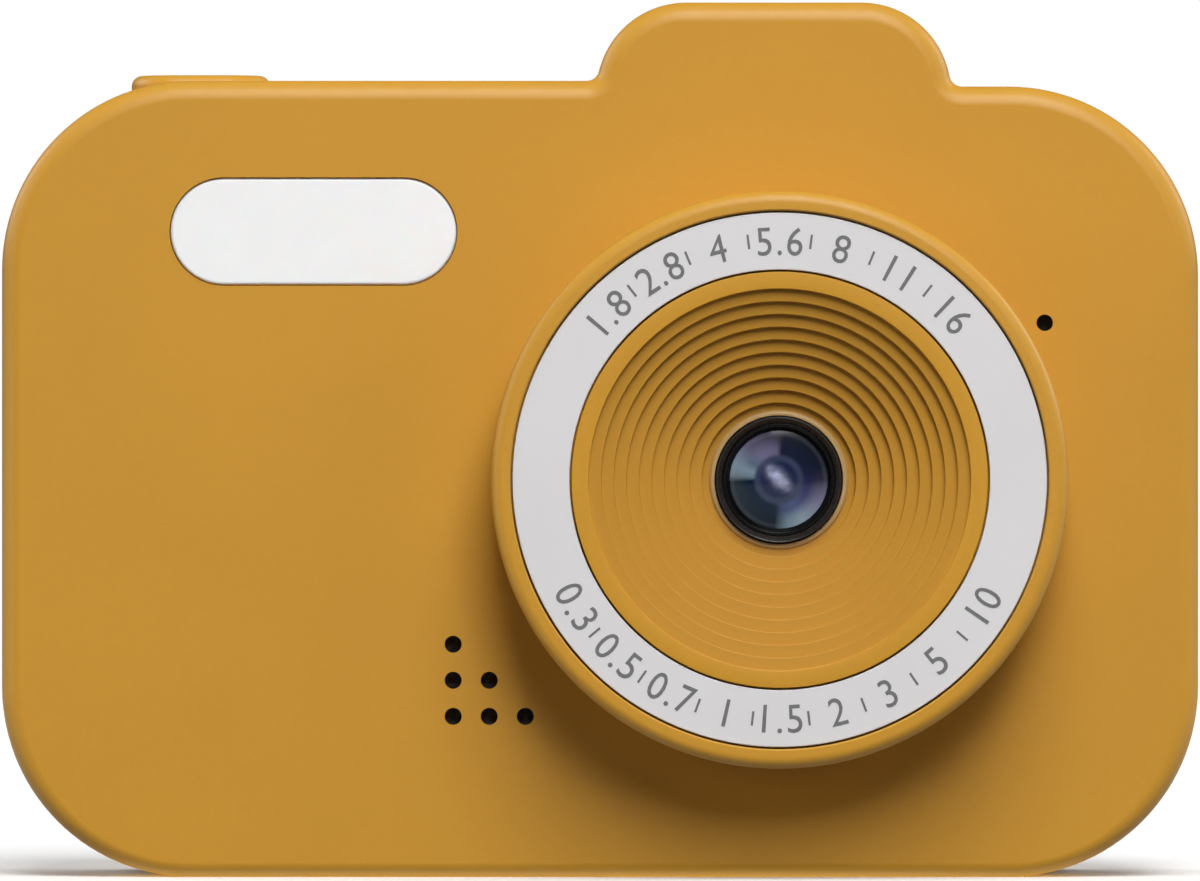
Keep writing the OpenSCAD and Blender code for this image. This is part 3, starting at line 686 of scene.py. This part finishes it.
def circuit(name, colour, trace):
    """Solder mask over fine tracks, with small bright pads."""
    s = Shader(name)
    bent = {"Distortion": 5.0, "Detail": 1.0, "Detail Scale": 0.6}
    lines = s.pattern("ShaderNodeTexWave", 7, inputs=bent, bands_direction="DIAGONAL")
    tracks = s.maths("GREATER_THAN", lines, 0.62)
    cells = s.pattern("ShaderNodeTexVoronoi", 2.6, "Distance", {"Randomness": 0.9})
    pads = s.maths("LESS_THAN", cells, 0.12)
    mask = s.mix(s.times(tracks, 0.7), rgba(colour), rgba(trace))
    s.look(s.mix(pads, mask, (0.75, 0.62, 0.32, 1)), s.noise(0.6), 0.25, 0.4)
    return s.bump((tracks, 0.02), (pads, 0.02))


def foil():
    """Creased pouch foil."""
    s = Shader("pouch foil")
    crease = s.pattern("ShaderNodeTexVoronoi", 7, "Distance", {"Randomness": 1.0},
                       feature="DISTANCE_TO_EDGE")
    base = s.mix(s.span(s.noise(4), 0, 1), (0.52, 0.53, 0.55, 1), (0.66, 0.66, 0.67, 1))
    s.look(base, s.noise(1.2), 0.25, 0.45, Metallic=0.85)
    return s.bump((crease, 0.12), (s.noise(1.0, 4), 0.03))


def woven(name, colour):
    """A fine square mesh."""
    s = Shader(name)
    thread = s.maths("MAXIMUM", *(
        s.pattern("ShaderNodeTexWave", 2.2, bands_direction=way) for way in ("X", "Z")))
    s.put(Base_Color=s.mix(thread, rgba(colour, 0.3), rgba(colour, 1.8)), Roughness=0.8)
    return s.bump((thread, 0.05))


# the second colour is for the edges: wear, and paler and whiter as a painted sheen on the roundings
MUSTARD, WORN_SHEEN_MUSTARD = (0.545, 0.264, 0.018), (0.58, 0.335, 0.075)
# how dark the painted shade inside the cone's mouth makes its colour
CONE_SHADE_FACTOR = 0.86
MATERIALS = {
    "casing_yellow": moulded("mustard plastic", MUSTARD, 0.46, specular=0.36, wear_and_sheen=WORN_SHEEN_MUSTARD),
    "insert_white": printed_white(),
    "black_plastic": black_plastic("black plastic", (0.0025, 0.0025, 0.0028), (0.021, 0.018, 0.016), 0.3),
    # opaque glass with painted reflections, glint and highlight
    "lens_glass": coated_glass("coated glass", LENS, KEEPER_R),
    "flash_diffuser": diffuser(),
    "white_plastic": moulded("white plastic", (0.78, 0.78, 0.77), 0.4),
    "flash_phosphor": moulded("phosphor", (0.8, 0.66, 0.12), 0.6, grain=0.15),
    "white_board": circuit("white board", (0.74, 0.74, 0.72), (0.8, 0.8, 0.78)),
    "green_board": circuit("green board", (0.012, 0.10, 0.035), (0.03, 0.19, 0.07)),
    "chip_black": moulded("chip", (0.018, 0.018, 0.02), 0.5, grain=0.12, tint=0.08),
    "steel": metal("steel", (0.46, 0.455, 0.445)),
    "speaker_paper": moulded("speaker film", (0.05, 0.05, 0.052), 0.6, grain=0.3, tint=0.06),
    "dust_mesh": woven("dust mesh", (0.02, 0.02, 0.02)),
    "soft_rubber": moulded("rubber", (0.02, 0.02, 0.021), 0.75, grain=0.2, tint=0.05),
    "wire_red": moulded("red insulation", (0.5, 0.02, 0.02), 0.35, grain=0.4, tint=0.06),
    "wire_black": moulded("black insulation", (0.02, 0.02, 0.02), 0.35, grain=0.4, tint=0.06),
    "battery_foil": foil(),
    "flex_film": circuit("flex film", (0.42, 0.16, 0.03), (0.6, 0.28, 0.07)),
    "display_glass": screen_glass(),
    "key_cream": moulded("white keys", (0.74, 0.735, 0.72), 0.36, grain=0.4, tint=0.015,
                         wear_and_sheen=(0.62, 0.60, 0.56)),
    "card_black": moulded("card plastic", (0.02, 0.02, 0.022), 0.45, grain=0.18, tint=0.05,
                          wear_and_sheen=(0.06, 0.06, 0.062)),
}
# the cone's mustard, darkened inside its mouth by painted shade
CONE_MUSTARD = moulded("mustard plastic, cone", MUSTARD, 0.5, specular=0.3, shade=cone_shade)
# the button's top rounding gets the edge colour: wear and a painted sheen
BUTTON_MUSTARD = moulded("mustard plastic, button", MUSTARD, 0.42, specular=0.36,
                         wear_and_sheen=WORN_SHEEN_MUSTARD, wear_and_sheen_axis="Z")
# paler and whiter than the body: a painted highlight on the bead round the barrel
PAINTED_HIGHLIGHT_MUSTARD = moulded("mustard plastic, rim", (0.47, 0.29, 0.105), 0.4)
DEEP_BLACK = black_plastic("black plastic, inside", (0.0012, 0.0012, 0.0013),
                           (0.003, 0.003, 0.003), 0.1)
GREY_INK = ink("grey ink", (0.125, 0.125, 0.13))
KEY_INK = ink("key ink", (0.10, 0.10, 0.105))
GOLD = metal("gold contacts", (0.8, 0.58, 0.22), 0.25)
# the same painted reflections, glint and highlight, on the rear lens
SELFIE_GLASS = coated_glass("coated glass, rear", SELFIE_AT, SELFIE_LENS_R)
SLOT_OF = {entry["node"]: entry["material_slot"] for entry in frame["record"]["subparts"]}


def stand_for(node, piece, body=ROOT, material=None):
    """Lets a piece stand for one CAD node, in that node's finish."""
    slot = SLOT_OF[node]
    finish_piece(piece, material or MATERIALS[slot], slot, body, (node,))


def dress(name, bm, node, material=None):
    stand_for(node, mesh_object(name, bm), ROOT, material)


# ---------- casing

def front_shell():
    tongue = [(PART_Y - SEAM, 0), (PART_Y, SEAM), (PART_Y, TONGUE_IN),
              (PART_Y + TONGUE_H, TONGUE_IN), (PART_Y + TONGUE_H, WALL), (-INNER, WALL)]
    shell = mesh_object("front_shell", loft(
        casing_outline, rounded_edge(-FACE, FRONT_ROUND, 1, 10) + tongue))
    for at in SCREWS_AT:
        add(shell, prism(circle(at, FRONT_BOSS_R), -INNER - OVERLAP, PART_Y, 0.01, 0.2))
    through = -INNER + 1               # well inside the wall
    small = [((SOUND_AT[0] + SOUND_PITCH * c, SOUND_AT[1] - SOUND_PITCH * r), SOUND_R)
             for r in range(3) for c in range(r + 1)] + [(MIC_AT, MIC_HOLE_R)]
    cuts = [hole(circle(at, radius, 32), -FACE, through, 0.1) for at, radius in small]
    cuts.append(hole(pill(FLASH_AT, FLASH_SIZE), -FACE, -FACE + FLASH_WELL, 0.16))
    cuts.append(rod(circle(LENS, 6), -FACE - 1, through))
    cuts += [rod(circle(at, PILOT_R, 32), -INNER + 2, PART_Y + 1) for at in SCREWS_AT]
    boolean(shell, joined(*cuts))
    under = [side - 2 * FLASH_LEDGE for side in FLASH_SIZE]
    boolean(shell, rod(pill(FLASH_AT, under), -FACE + 1, through))
    opening = [side + 2 * SLIP for side in SHUTTER_SIZE]
    boolean(shell, rod(pill(SHUTTER_AT, opening), 50, 58, "top"))
    boolean(shell, side_ports())
    stand_for("front_casing", shell)


def side_ports():
    """The three openings in the right side."""
    x0, x1 = HALF_W - 4, HALF_W
    usb = [side + 0.3 for side in USB_SIZE]
    return joined(
        hole(pill((PART_Y, USB_Z), usb), x1, x0, 0.15, "side"),
        hole(rect((PART_Y, CARD_Z), CARD_SLOT, 0.3, 4), x1, x0, 0.12, "side"),
        hole(circle((PART_Y, RESET_Z), RESET_R, 24), x1, x0, 0.08, "side"))


def rear_shell():
    side, bottom = TONGUE_IN - 0.05, PART_Y + TONGUE_H + 0.1
    groove = [(INNER, WALL), (bottom, WALL), (bottom, side), (PART_Y, side), (PART_Y, SEAM),
              (PART_Y + SEAM, 0)]
    shell = mesh_object("rear_shell", loft(
        casing_outline, groove + rounded_edge(REAR, REAR_ROUND, -1, 10)[::-1]))
    boss_end, into_wall = PART_Y + TONGUE_H + 0.2, INNER + OVERLAP
    for at in SCREWS_AT:
        add(shell, prism(circle(at, REAR_BOSS_R), boss_end, into_wall, 0.2, 0.01))
    for at in POSTS_AT:
        add(shell, prism(circle(at, POST_R), POST_END, into_wall, 0.2, 0.01))
    y, z = LANYARD_AT
    outer, inner = 1.2 - HALF_W, -36.7
    pocket_back = rect(((outer + inner) / 2, z), (inner - outer, 10), 0.3, 3)
    add(shell, prism(pocket_back, boss_end, into_wall, 0.1, 0.1))
    cuts = [hole(circle(at, HEAD_HOLE_R, 48), REAR, HEAD_SEAT, 0.15) for at in SCREWS_AT]
    cuts.append(hole(rect(WINDOW_AT, WINDOW_SIZE, 4), REAR, REAR - WINDOW_T, 0.12))
    cuts.append(hole(circle(SELFIE_AT, SELFIE_R + 0.1), REAR, REAR - SELFIE_WELL, 0.12))
    cuts.append(hole(circle(PAD_AT, PAD_R + SLIP, 128), REAR, INNER - 1, 0.25))
    cuts += [hole(circle(at, SMALL_KEY_R + SLIP, 64), REAR, INNER - 1, 0.2)
             for at in SMALL_KEYS.values()]
    cuts.append(hole(rect((y, z), LANYARD_POCKET, 0.8), -HALF_W, LANYARD_FLOOR, 0.3, "side"))
    boolean(shell, joined(*cuts))
    deeper = [rod(circle(at, SHANK_HOLE_R, 32), PART_Y - 1, HEAD_SEAT + 0.5) for at in SCREWS_AT]
    deeper.append(rod(rect(WINDOW_AT, APERTURE_SIZE, 2), INNER - 1, REAR - WINDOW_T + 0.2))
    deeper.append(rod(circle(SELFIE_AT, SELFIE_R - 0.8), INNER - 1, REAR - 1))
    pin_hole = circle((LANYARD_X, y), LANYARD_HOLE_R, 24)
    deeper.append(rod(pin_hole, z - LANYARD_REACH, z + LANYARD_REACH, "top"))
    boolean(shell, joined(*deeper))
    boolean(shell, side_ports())
    stand_for("rear_casing", shell)


# ---------- lens

def ring():
    lip = INSERT_R + 0.14
    seat_r, neck_r, skirt_r = 16.7, 14.8, 18
    cone_seat, neck_end = SHELF - 1.35, SHELF - 2.8
    curve = rounded_edge(RING_FRONT, LIP_ROUND, -1, 12)[::-1]
    outside = [(RING_R, FACE)] + [(RING_R - inset, forward) for forward, inset in curve]
    inside = [(lip + 0.1, RING_FRONT), (lip, RING_FRONT - 0.1), (lip, SHELF), (seat_r, SHELF),
              (seat_r, cone_seat), (neck_r, cone_seat), (neck_r, neck_end), (skirt_r, neck_end),
              (skirt_r, FACE)]
    dress("ring", lathe(outside + inside, segments=256), "lens_ring")


def insert():
    inner_r = 14.62
    profile = [(inner_r, SHELF), (INSERT_R, SHELF), (INSERT_R, INSERT_FRONT), (inner_r, INSERT_FRONT)]
    dress("printed_insert", lathe(soften(profile, 0.09), segments=256), "ring_insert")


def cone():
    pitch = (CONE_MOUTH_R - BARREL_R - 0.1) / CONE_STEPS
    steps = []
    for i in range(CONE_STEPS):
        radius, forward = CONE_MOUTH_R - pitch * i, CONE_FRONT - STEP_H * i
        steps += [(radius, forward), (radius, forward - STEP_H)]
    back, sleeve_r, sleeve_end = CONE_FLOOR - 1.3, BARREL_R + 1.1, CONE_FLOOR - 2.5
    skirt_r, step_r, flange_r, rim_r = 14.1, 14.6, 16.5, 14.48
    skirt_end, flange_back, flange_front = RING_FRONT - 3.4, RING_FRONT - 2.35, RING_FRONT - 1.2
    rest = [(CONE_BORE, CONE_FLOOR), (CONE_BORE, sleeve_end), (sleeve_r, sleeve_end), (sleeve_r, back),
            (skirt_r, skirt_end), (step_r, flange_back), (flange_r, flange_back),
            (flange_r, flange_front), (rim_r, flange_front), (rim_r, CONE_FRONT)]
    solid = lathe(soften(steps + rest, 0.05), segments=256)
    dress("stepped_cone", solid, "lens_cone", CONE_MUSTARD)


def cone_rim():
    """The bead round the barrel, in a paler, whiter mustard that paints the highlight on its edge."""
    out, low, high = CONE_BORE + 0.4, CONE_FLOOR - 0.1, CONE_FLOOR + 0.2
    bead = [(CONE_BORE, low), (out, low), (out, CONE_FLOOR + 0.06), (CONE_BORE + 0.24, high),
            (CONE_BORE, high)]
    make("cone_rim", lathe(soften(bead, 0.06)), PAINTED_HIGHLIGHT_MUSTARD, "casing_yellow")


def barrel():
    thread_r, thread_end = BARREL_BORE - 0.1, BARREL_FRONT - 1.1
    profile = [(BARREL_BORE, thread_end), (BARREL_BORE, BARREL_FRONT - 0.34),
               (BARREL_R - 0.09, BARREL_FRONT), (BARREL_R, BARREL_FRONT), (BARREL_R, BARREL_BACK),
               (TAIL_R, BARREL_BACK), (TAIL_R, REAR_SEAT), (WELL_R, REAR_SEAT), (WELL_R, STOP_SEAT),
               (STOP_R, STOP_SEAT), (STOP_R, GLASS_SEAT), (thread_r, GLASS_SEAT), (thread_r, thread_end)]
    dress("barrel", lathe(soften(profile, 0.08)), "lens_barrel")
    foot, brim, crest = BARREL_FRONT - 1.05, BARREL_FRONT - 0.75, BARREL_FRONT - 0.35
    keeper = [(KEEPER_R, foot), (KEEPER_R, brim), (BARREL_BORE - 0.25, crest),
              (BARREL_BORE - 0.02, crest), (BARREL_BORE - 0.02, foot)]
    dress("glass_retainer", lathe(soften(keeper, 0.05)), "lens_retainer", DEEP_BLACK)


def dome(radius, sphere_r, crown, back, rim=0.12, steps=20):
    """Profile of a lens that is domed in front and flat behind, from the axis round to the axis."""
    centre = crown - sphere_r
    edge = math.asin((radius - rim) / sphere_r)
    curve = [(sphere_r * math.sin(edge * i / steps), centre + sphere_r * math.cos(edge * i / steps))
             for i in range(steps + 1)]
    return curve + [(radius, curve[-1][1] - rim), (radius, back + rim), (radius - rim, back), (0, back)]


def glass():
    front = dome(FRONT_GLASS_R, 20, BARREL_FRONT - 0.45, GLASS_SEAT + 0.05)
    dress("front_glass", lathe(front, closed=False), "front_lens")
    inner = dome(WELL_R - 0.04, 6, 11.6, REAR_SEAT + 0.05)
    dress("inner_element", lathe(inner, closed=False), "rear_lens")
    rim, front, back = STOP_R - 0.05, STOP_SEAT + 0.4, STOP_SEAT + 0.05
    stop = [(2.05, front), (rim, front), (rim, back), (1.95, back)]
    dress("aperture_ring", lathe(soften(stop, 0.04)), "aperture_stop")


def glyph(text, height):
    """Flat filled figures as bmesh faces, centred on the origin in X, standing on Y = 0, in mm."""
    cap_height, narrow = 0.69, 0.92
    curve = bpy.data.curves.new("figures", "FONT")
    curve.body, curve.align_x, curve.resolution_u = text, "CENTER", 4
    curve.space_character = 1.1
    made = link_object("figures", curve)
    mesh = solved_mesh(made)
    bm = opened(mesh)
    bpy.data.objects.remove(made)
    bpy.data.curves.remove(curve)
    bpy.data.meshes.remove(mesh)
    bmesh.ops.remove_doubles(bm, verts=bm.verts, dist=1e-4)
    bmesh.ops.scale(bm, verts=bm.verts, vec=(height / cap_height * narrow, height / cap_height, 1))
    return bm


def raise_faces(bm, place, top, bottom):
    """Makes flat faces in the XY plane into thin solids between two depths, put in place by place()."""
    for vert in bm.verts:
        vert.co.z = 0
    grown = bmesh.ops.extrude_face_region(bm, geom=list(bm.faces))
    fresh = {g for g in grown["geom"] if isinstance(g, bmesh.types.BMVert)}
    for vert in bm.verts:
        x, z = place(vert.co.x, vert.co.y)
        vert.co = Vector((x, top if vert in fresh else bottom, z)) * MM
    return bm


def round_the_axis(angle, height, base, way):
    """Bends flat figures round the lens axis. They stand on the circle base, heads out if way is 1."""
    def place(x, y):
        turn = angle - math.degrees(way * x / (base + way * height / 2))
        return spot(LENS, base + way * y, turn)
    return place


def ring_print():
    """A generic lens scale: apertures along the top and distances along the bottom, with ticks."""
    height, top, bottom = 1.95, -INSERT_FRONT - PRINT_OUT, -INSERT_FRONT + PRINT_IN
    above_base, below_base = 15.65, 17.6
    stops = zip(("1.8", "2.8", "4", "5.6", "8", "11", "16"), (136, 120, 105, 90, 75, 60, 44))
    metres = zip(("0.3", "0.5", "0.7", "1", "1.5", "2", "3", "5", "10"),
                 (212, 227.5, 243, 257, 270, 284, 297, 311, 328))
    parts = []
    for labels, base, way in ((stops, above_base, 1), (metres, below_base, -1)):
        for text, angle in labels:
            bend = round_the_axis(angle, height, base, way)
            parts.append(raise_faces(glyph(text, height), bend, top, bottom))
    for angle in (128, 112.5, 97.5, 82.5, 67.5, 52, 219.5, 235, 250, 263.5, 277, 290.5, 304, 319.5):
        parts.append(tick(angle, 16.2, 17.2, 0.16, top, bottom))
    make("printed_scale", joined(*parts), GREY_INK, "insert_white")


def flat_face(points):
    bm = bmesh.new()
    bm.faces.new([bm.verts.new((x, z, 0)) for x, z in points])
    return bm


def tick(angle, near, far, width, top, bottom):
    """A short radial bar on the insert."""
    bar = flat_face([(near, -width / 2), (far, -width / 2), (far, width / 2), (near, width / 2)])
    return raise_faces(bar, lambda r, s: spot(spot(LENS, r, angle), s, angle + 90), top, bottom)


# ---------- flash, button and keys

def flash():
    outline = pill(FLASH_AT, [side - 0.1 for side in FLASH_SIZE])
    dress("flash_diffuser", prism(outline, -FACE + 0.12, -FACE + 1.15, 0.24, 0.05), "flash_window")


def shutter():
    flange = SHUTTER_FLANGE
    cap = prism(pill(SHUTTER_AT, SHUTTER_SIZE, 40), flange - 0.1, BUTTON_TOP, 0.05, 0.75, "top")
    lip = [side + grow for side, grow in zip(SHUTTER_SIZE, (1.2, 0.6))]
    button = mesh_object("shutter_cap", cap)
    add(button, prism(pill(SHUTTER_AT, lip), flange - 0.8, flange, 0.15, 0.15, "top"))
    add(button, prism(circle(SHUTTER_AT, 1.5), flange - 1.4, flange - 0.7, 0.2, 0.01, "top"))
    stand_for("shutter_button", button, "shutter_button", BUTTON_MUSTARD)


KEY_FACE = KEY_TOP - PRINT_OUT     # the printed marks stand up from here to the top
KEY_FLANGE = INNER - 0.85
FLANGE_W, FLANGE_T = 0.8, 0.75
KEY_STEM_R = 1.3


def key(node, outline, stem_at, flange):
    """Cap, retaining flange and stem of one rear key."""
    cap = prism(outline, KEY_FLANGE + 0.2, KEY_FACE, 0.02, 0.38)
    piece = mesh_object(node.replace("_key", "_cap"), cap)
    add(piece, prism(flange, KEY_FLANGE, KEY_FLANGE + FLANGE_T, 0.1, 0.1))
    stem = circle(stem_at, KEY_STEM_R)
    add(piece, prism(stem, KEY_FLANGE - 0.6, KEY_FLANGE + 0.3, 0.15, 0.01))
    stand_for(node, piece, node)


def icon(name, body, shapes):
    """Printed shapes, each a list of (x, z) points, on a key's face."""
    parts = [raise_faces(flat_face(points), lambda x, z: (x, z), KEY_TOP, KEY_FACE - PRINT_IN)
             for points in shapes]
    make(name, joined(*parts), KEY_INK, "key_cream", body)


def strip(centre, radius, start, end, width, steps=28):
    """A curved stroke."""
    outer, inner = radius + width / 2, radius - width / 2
    return arc(centre, outer, start, end, steps) + arc(centre, inner, end, start, steps)


def bar(x, z, w, h):
    return rect((x, z), (w, h), min(w, h) * 0.45, 5)()


def keys():
    stem_reach, flange_size = 6.8, (4.2, 4.2)
    tip, half, back = 0.75, 0.85, 0.55
    for node, angle in (("up_key", 90), ("down_key", 270), ("left_key", 180), ("right_key", 0)):
        way = spot((0, 0), 1, angle)
        side = (-way[1], way[0])
        at = spot(PAD_AT, stem_reach, angle)
        key(node, petal(angle), at, rect(at, flange_size, 1, 6))
        arrow = [(at[0] + way[0] * a + side[0] * b, at[1] + way[1] * a + side[1] * b)
                 for a, b in ((tip, 0), (-back, half), (-back, -half))]
        icon(node.replace("_key", "_arrow"), node, [arrow])
    key("ok_key", circle(PAD_AT, OK_R, 96), PAD_AT, circle(PAD_AT, OK_R - 0.2, 96))
    icon("ok_mark", "ok_key", [arc(PAD_AT, 0.75, 0, 350, 35)])
    for node, at in SMALL_KEYS.items():
        flange = circle(at, SMALL_KEY_R + FLANGE_W, 80)
        key(node, circle(at, SMALL_KEY_R, 80), at, flange)
    x, z = SMALL_KEYS["power_key"]
    icon("power_mark", "power_key", [strip((x, z), 1.05, 125, 415, 0.26), bar(x, z + 0.75, 0.26, 1.2)])
    x, z = SMALL_KEYS["menu_key"]
    icon("menu_mark", "menu_key", [bar(x, z + d, 2, 0.28) for d in (-0.65, 0, 0.65)])
    x, z = SMALL_KEYS["play_key"]
    icon("play_mark", "play_key", [[(x - 1, z), (x + 0.65, z + 0.95), (x + 0.65, z - 0.95)]])


# ---------- rear and side details

def display():
    outline = rect(WINDOW_AT, [side - 0.25 for side in WINDOW_SIZE], 3.9, 16)
    dress("screen", prism(outline, REAR - WINDOW_T + 0.05, REAR - 0.05, 0.05, 0.2), "display_window")


def selfie():
    at, lens, foot = SELFIE_AT, SELFIE_LENS_R, REAR - 0.14
    window = prism(circle(at, SELFIE_R, 96), REAR - 1.15, REAR - 0.1, 0.05, 0.15)
    dress("selfie_glass", window, "selfie_window", MATERIALS["display_glass"])
    near, rim = lens + 0.05, lens + 0.5
    band = [(near, foot), (rim, foot), (rim, foot + 0.06), (lens + 0.25, foot + 0.13), (near, foot + 0.08)]
    make_in("steel", "selfie_ring", lathe(soften([(r, -y) for r, y in band], 0.03), at, 96))
    bead = [(0, -foot)] + [(r, -y) for r, y in arc((0, foot), lens, 0, 90, 12, 0.11)]
    make("selfie_lens", lathe(bead, at, 64, closed=False), SELFIE_GLASS, "lens_glass")


def microphone_felt():
    front = box("microphone")[0].y
    pad = prism(circle(MIC_AT, 1.1, 48), front - 0.09, front - 0.01, 0.02, 0.01)
    make_in("soft_rubber", "microphone_felt", pad)


def usb():
    low, high = box("usb_port")
    at, floor = (PART_Y, USB_Z), low.x + 0.8
    shell = mesh_object("usb_shell", prism(pill(at, USB_SIZE), low.x, high.x, 0.1, 0.12, "side"))
    bore = [side - 0.6 for side in USB_SIZE]
    boolean(shell, hole(pill(at, bore), high.x, floor, 0.1, "side"))
    stand_for("usb_port", shell)
    tongue = rect(at, (0.7, 6.6), 0.2, 4)
    make_in("black_plastic", "usb_tongue", prism(tongue, floor, high.x - 1, 0.05, 0.15, "side"))
    pitch, first, out = 0.5, USB_Z - 2.75, 0.36
    contacts = [
        prism(rect((PART_Y + side * out, first + pitch * i), (0.06, 0.26), 0.02, 2),
              high.x - 5, high.x - 1.4, 0.01, 0.01, "side")
        for side in (-1, 1) for i in range(12)]
    make("usb_contacts", joined(*contacts), GOLD, "steel")


def card():
    low, high = box("memory_card")
    x, z = (low.x + high.x) / 2, CARD_Z
    half_l, half_w = 7.5, 5.5
    outline = [(low.x + 0.4, z - half_w), (high.x - 0.3, z - half_w), (high.x, z - 5.2), (high.x, z + 5.2),
               (high.x - 0.3, z + half_w), (low.x + 6.4, z + half_w), (low.x + 6, z + 4.4),
               (low.x + 5.4, z + 4.2), (low.x + 0.4, z + 4.2), (low.x, z + 3.8), (low.x, z - 5.1)]

    def shrunk(inset=0):
        return [(x + (u - x) * (1 - inset / half_l), z + (v - z) * (1 - inset / half_w))
                for u, v in outline]

    body = mesh_object("card", prism(shrunk, PART_Y - 0.35, PART_Y + 0.35, 0.08, 0.08))
    grip = rect((high.x - 0.65, z), (1.1, 10.2), 0.25, 5)
    add(body, prism(grip, PART_Y - 0.5, PART_Y, 0.1, 0.05))
    stand_for("memory_card", body, "memory_card")
    pads = [prism(rect((low.x + 2.2, z - 4.2 + 1.1 * i), (3, 0.8), 0.15, 3),
                  PART_Y + 0.33, PART_Y + 0.37, 0.005, 0.005) for i in range(8)]
    make("card_contacts", joined(*pads), GOLD, "steel", "memory_card")


def casing_screws():
    """Pan-head screws, each with a cross recess, at the foot of the rear counterbores."""
    crest_r, root_r, pitch, turns = 0.96, 0.8, 0.45, 29
    head = [(0, 9.4), (0.9, 9.38), (1.35, 9.22), (1.65, 8.9), (1.78, 8.5), (1.78, 8.05), (1.74, HEAD_SEAT)]
    shank = [(radius, HEAD_SEAT - pitch * i - down)
             for i in range(turns) for radius, down in ((crest_r, 0), (root_r, 0.22))]
    tip = [(0.5, -5.3), (0, -5.6)]
    profile = [(r, -y) for r, y in head + shank + tip]
    parts = []
    for at in SCREWS_AT:
        screw = mesh_object("screw", lathe(profile, at, 48, closed=False))
        boolean(screw, loft(cross(at, 1.05, 0.21), [(8.7, 0.08), (9.6, 0)]))
        bm = opened(screw.data)
        bmesh.ops.remove_doubles(bm, verts=bm.verts, dist=0.002 * MM)
        bpy.data.objects.remove(screw)
        parts.append(bm)
    dress("shell_screws", joined(*parts), "casing_screws")


# ---------- stage, lights and camera

FLOOR_R = 0.75       # metres; past this the white world carries on from the floor
WORLD_FILL = 0.06
LIGHTS = [
    # name, azimuth, elevation, distance in m, size in m, watts, seen in gloss
    ("key", 8, 28, 1.2, 0.40, 6.65, True),
    ("top", 10, 53, 1.2, 0.65, 10.9, True),
    ("right", 62, 15, 1.4, 0.6, 1.8, True),
    ("left", -68, 15, 1.4, 0.6, 3.0, True),
    ("right_side", 112, 25, 1.3, 0.7, 6, True),
    ("left_side", -112, 25, 1.3, 0.7, 6, True),
    ("behind", 178, 18, 1.3, 0.8, 11, False),
]


def stage():
    s = Shader("pale floor")
    base = s.mix(s.span(s.noise(180, 2), 0, 1), (0.90, 0.90, 0.90, 1), (0.92, 0.92, 0.92, 1))
    s.look(base, s.noise(3, 3), 0.75, 0.9)
    bm = bmesh.new()
    bmesh.ops.create_circle(bm, cap_ends=True, segments=128, radius=FLOOR_R)
    floor = mesh_object("floor", bm)
    floor.data.materials.append(s.material)
    floor.visible_diffuse = False
    floor.visible_shadow = False       # so that the foot light reaches the casing


def world_light(fill):
    """White behind the object, and a weak even fill everywhere else."""
    world = bpy.data.worlds.new("studio")
    world.use_nodes = True
    tree = world.node_tree
    background = tree.nodes["Background"]
    background.inputs["Color"].default_value = (1, 1, 1, 1)
    seen = tree.nodes.new("ShaderNodeLightPath").outputs["Is Camera Ray"]
    strength = tree.nodes.new("ShaderNodeMapRange")
    strength.inputs["To Min"].default_value = fill
    strength.inputs["To Max"].default_value = 1.0
    tree.links.new(seen, strength.inputs["Value"])
    tree.links.new(strength.outputs["Result"], background.inputs["Strength"])
    SCENE.world = world


def area_light(name, size, watts, place, rotation, glossy):
    data = bpy.data.lights.new(name, "AREA")
    data.size, data.energy = size, watts
    lamp = link_object(name, data)
    lamp.location, lamp.rotation_euler, lamp.visible_glossy = place, rotation, glossy
    return data


def softbox(name, azimuth, elevation, distance, size, watts, glossy):
    """A square light aimed at the middle of the camera. Azimuth 0 is in front, 90 at the right."""
    a, e = math.radians(azimuth), math.radians(elevation)
    back = Vector((math.sin(a) * math.cos(e), -math.cos(a) * math.cos(e), math.sin(e)))
    rotation = (-back).to_track_quat("-Z", "Y").to_euler()
    area_light(name, size, watts, Vector((0, 0, 0.03)) + back * distance, rotation, glossy)


def foot_light():
    """A strip under the front edge, in place of the light that a white floor gives back."""
    length, width, under, watts = 72, 6, 5, 0.0033
    place = Vector((0, width / 2 - FACE, -under)) * MM
    data = area_light("foot", length * MM, watts, place, (math.pi, 0, 0), False)
    data.shape, data.size_y = "RECTANGLE", width * MM


def camera():
    """Straight on, from far away: the picture is view_w mm wide at the front edge of the casing."""
    lens, sensor, view_w, centre_z = 500, 36, 84.28, 30.64
    distance = view_w * lens / sensor
    data = bpy.data.cameras.new("camera")
    data.lens, data.sensor_width, data.clip_end = lens, sensor, 50
    data.dof.use_dof = False
    eye = link_object("camera", data)
    eye.location = Vector((0.0, -(FACE - FRONT_ROUND) - distance, centre_z)) * MM
    eye.rotation_euler = (math.pi / 2, 0, 0)
    SCENE.camera = eye


# ---------- build

camera()
stage()
world_light(WORLD_FILL)
for light in LIGHTS:
    softbox(*light)
foot_light()
SCENE.view_settings.view_transform = "Standard"

for node, obj in frame["nodes"].items():
    obj.data.materials.clear()
    obj.data.materials.append(MATERIALS[SLOT_OF[node]])

front_shell()
rear_shell()
ring()
insert()
ring_print()
cone()
cone_rim()
barrel()
glass()
flash()
shutter()
keys()
display()
selfie()
microphone_felt()
usb()
card()
casing_screws()
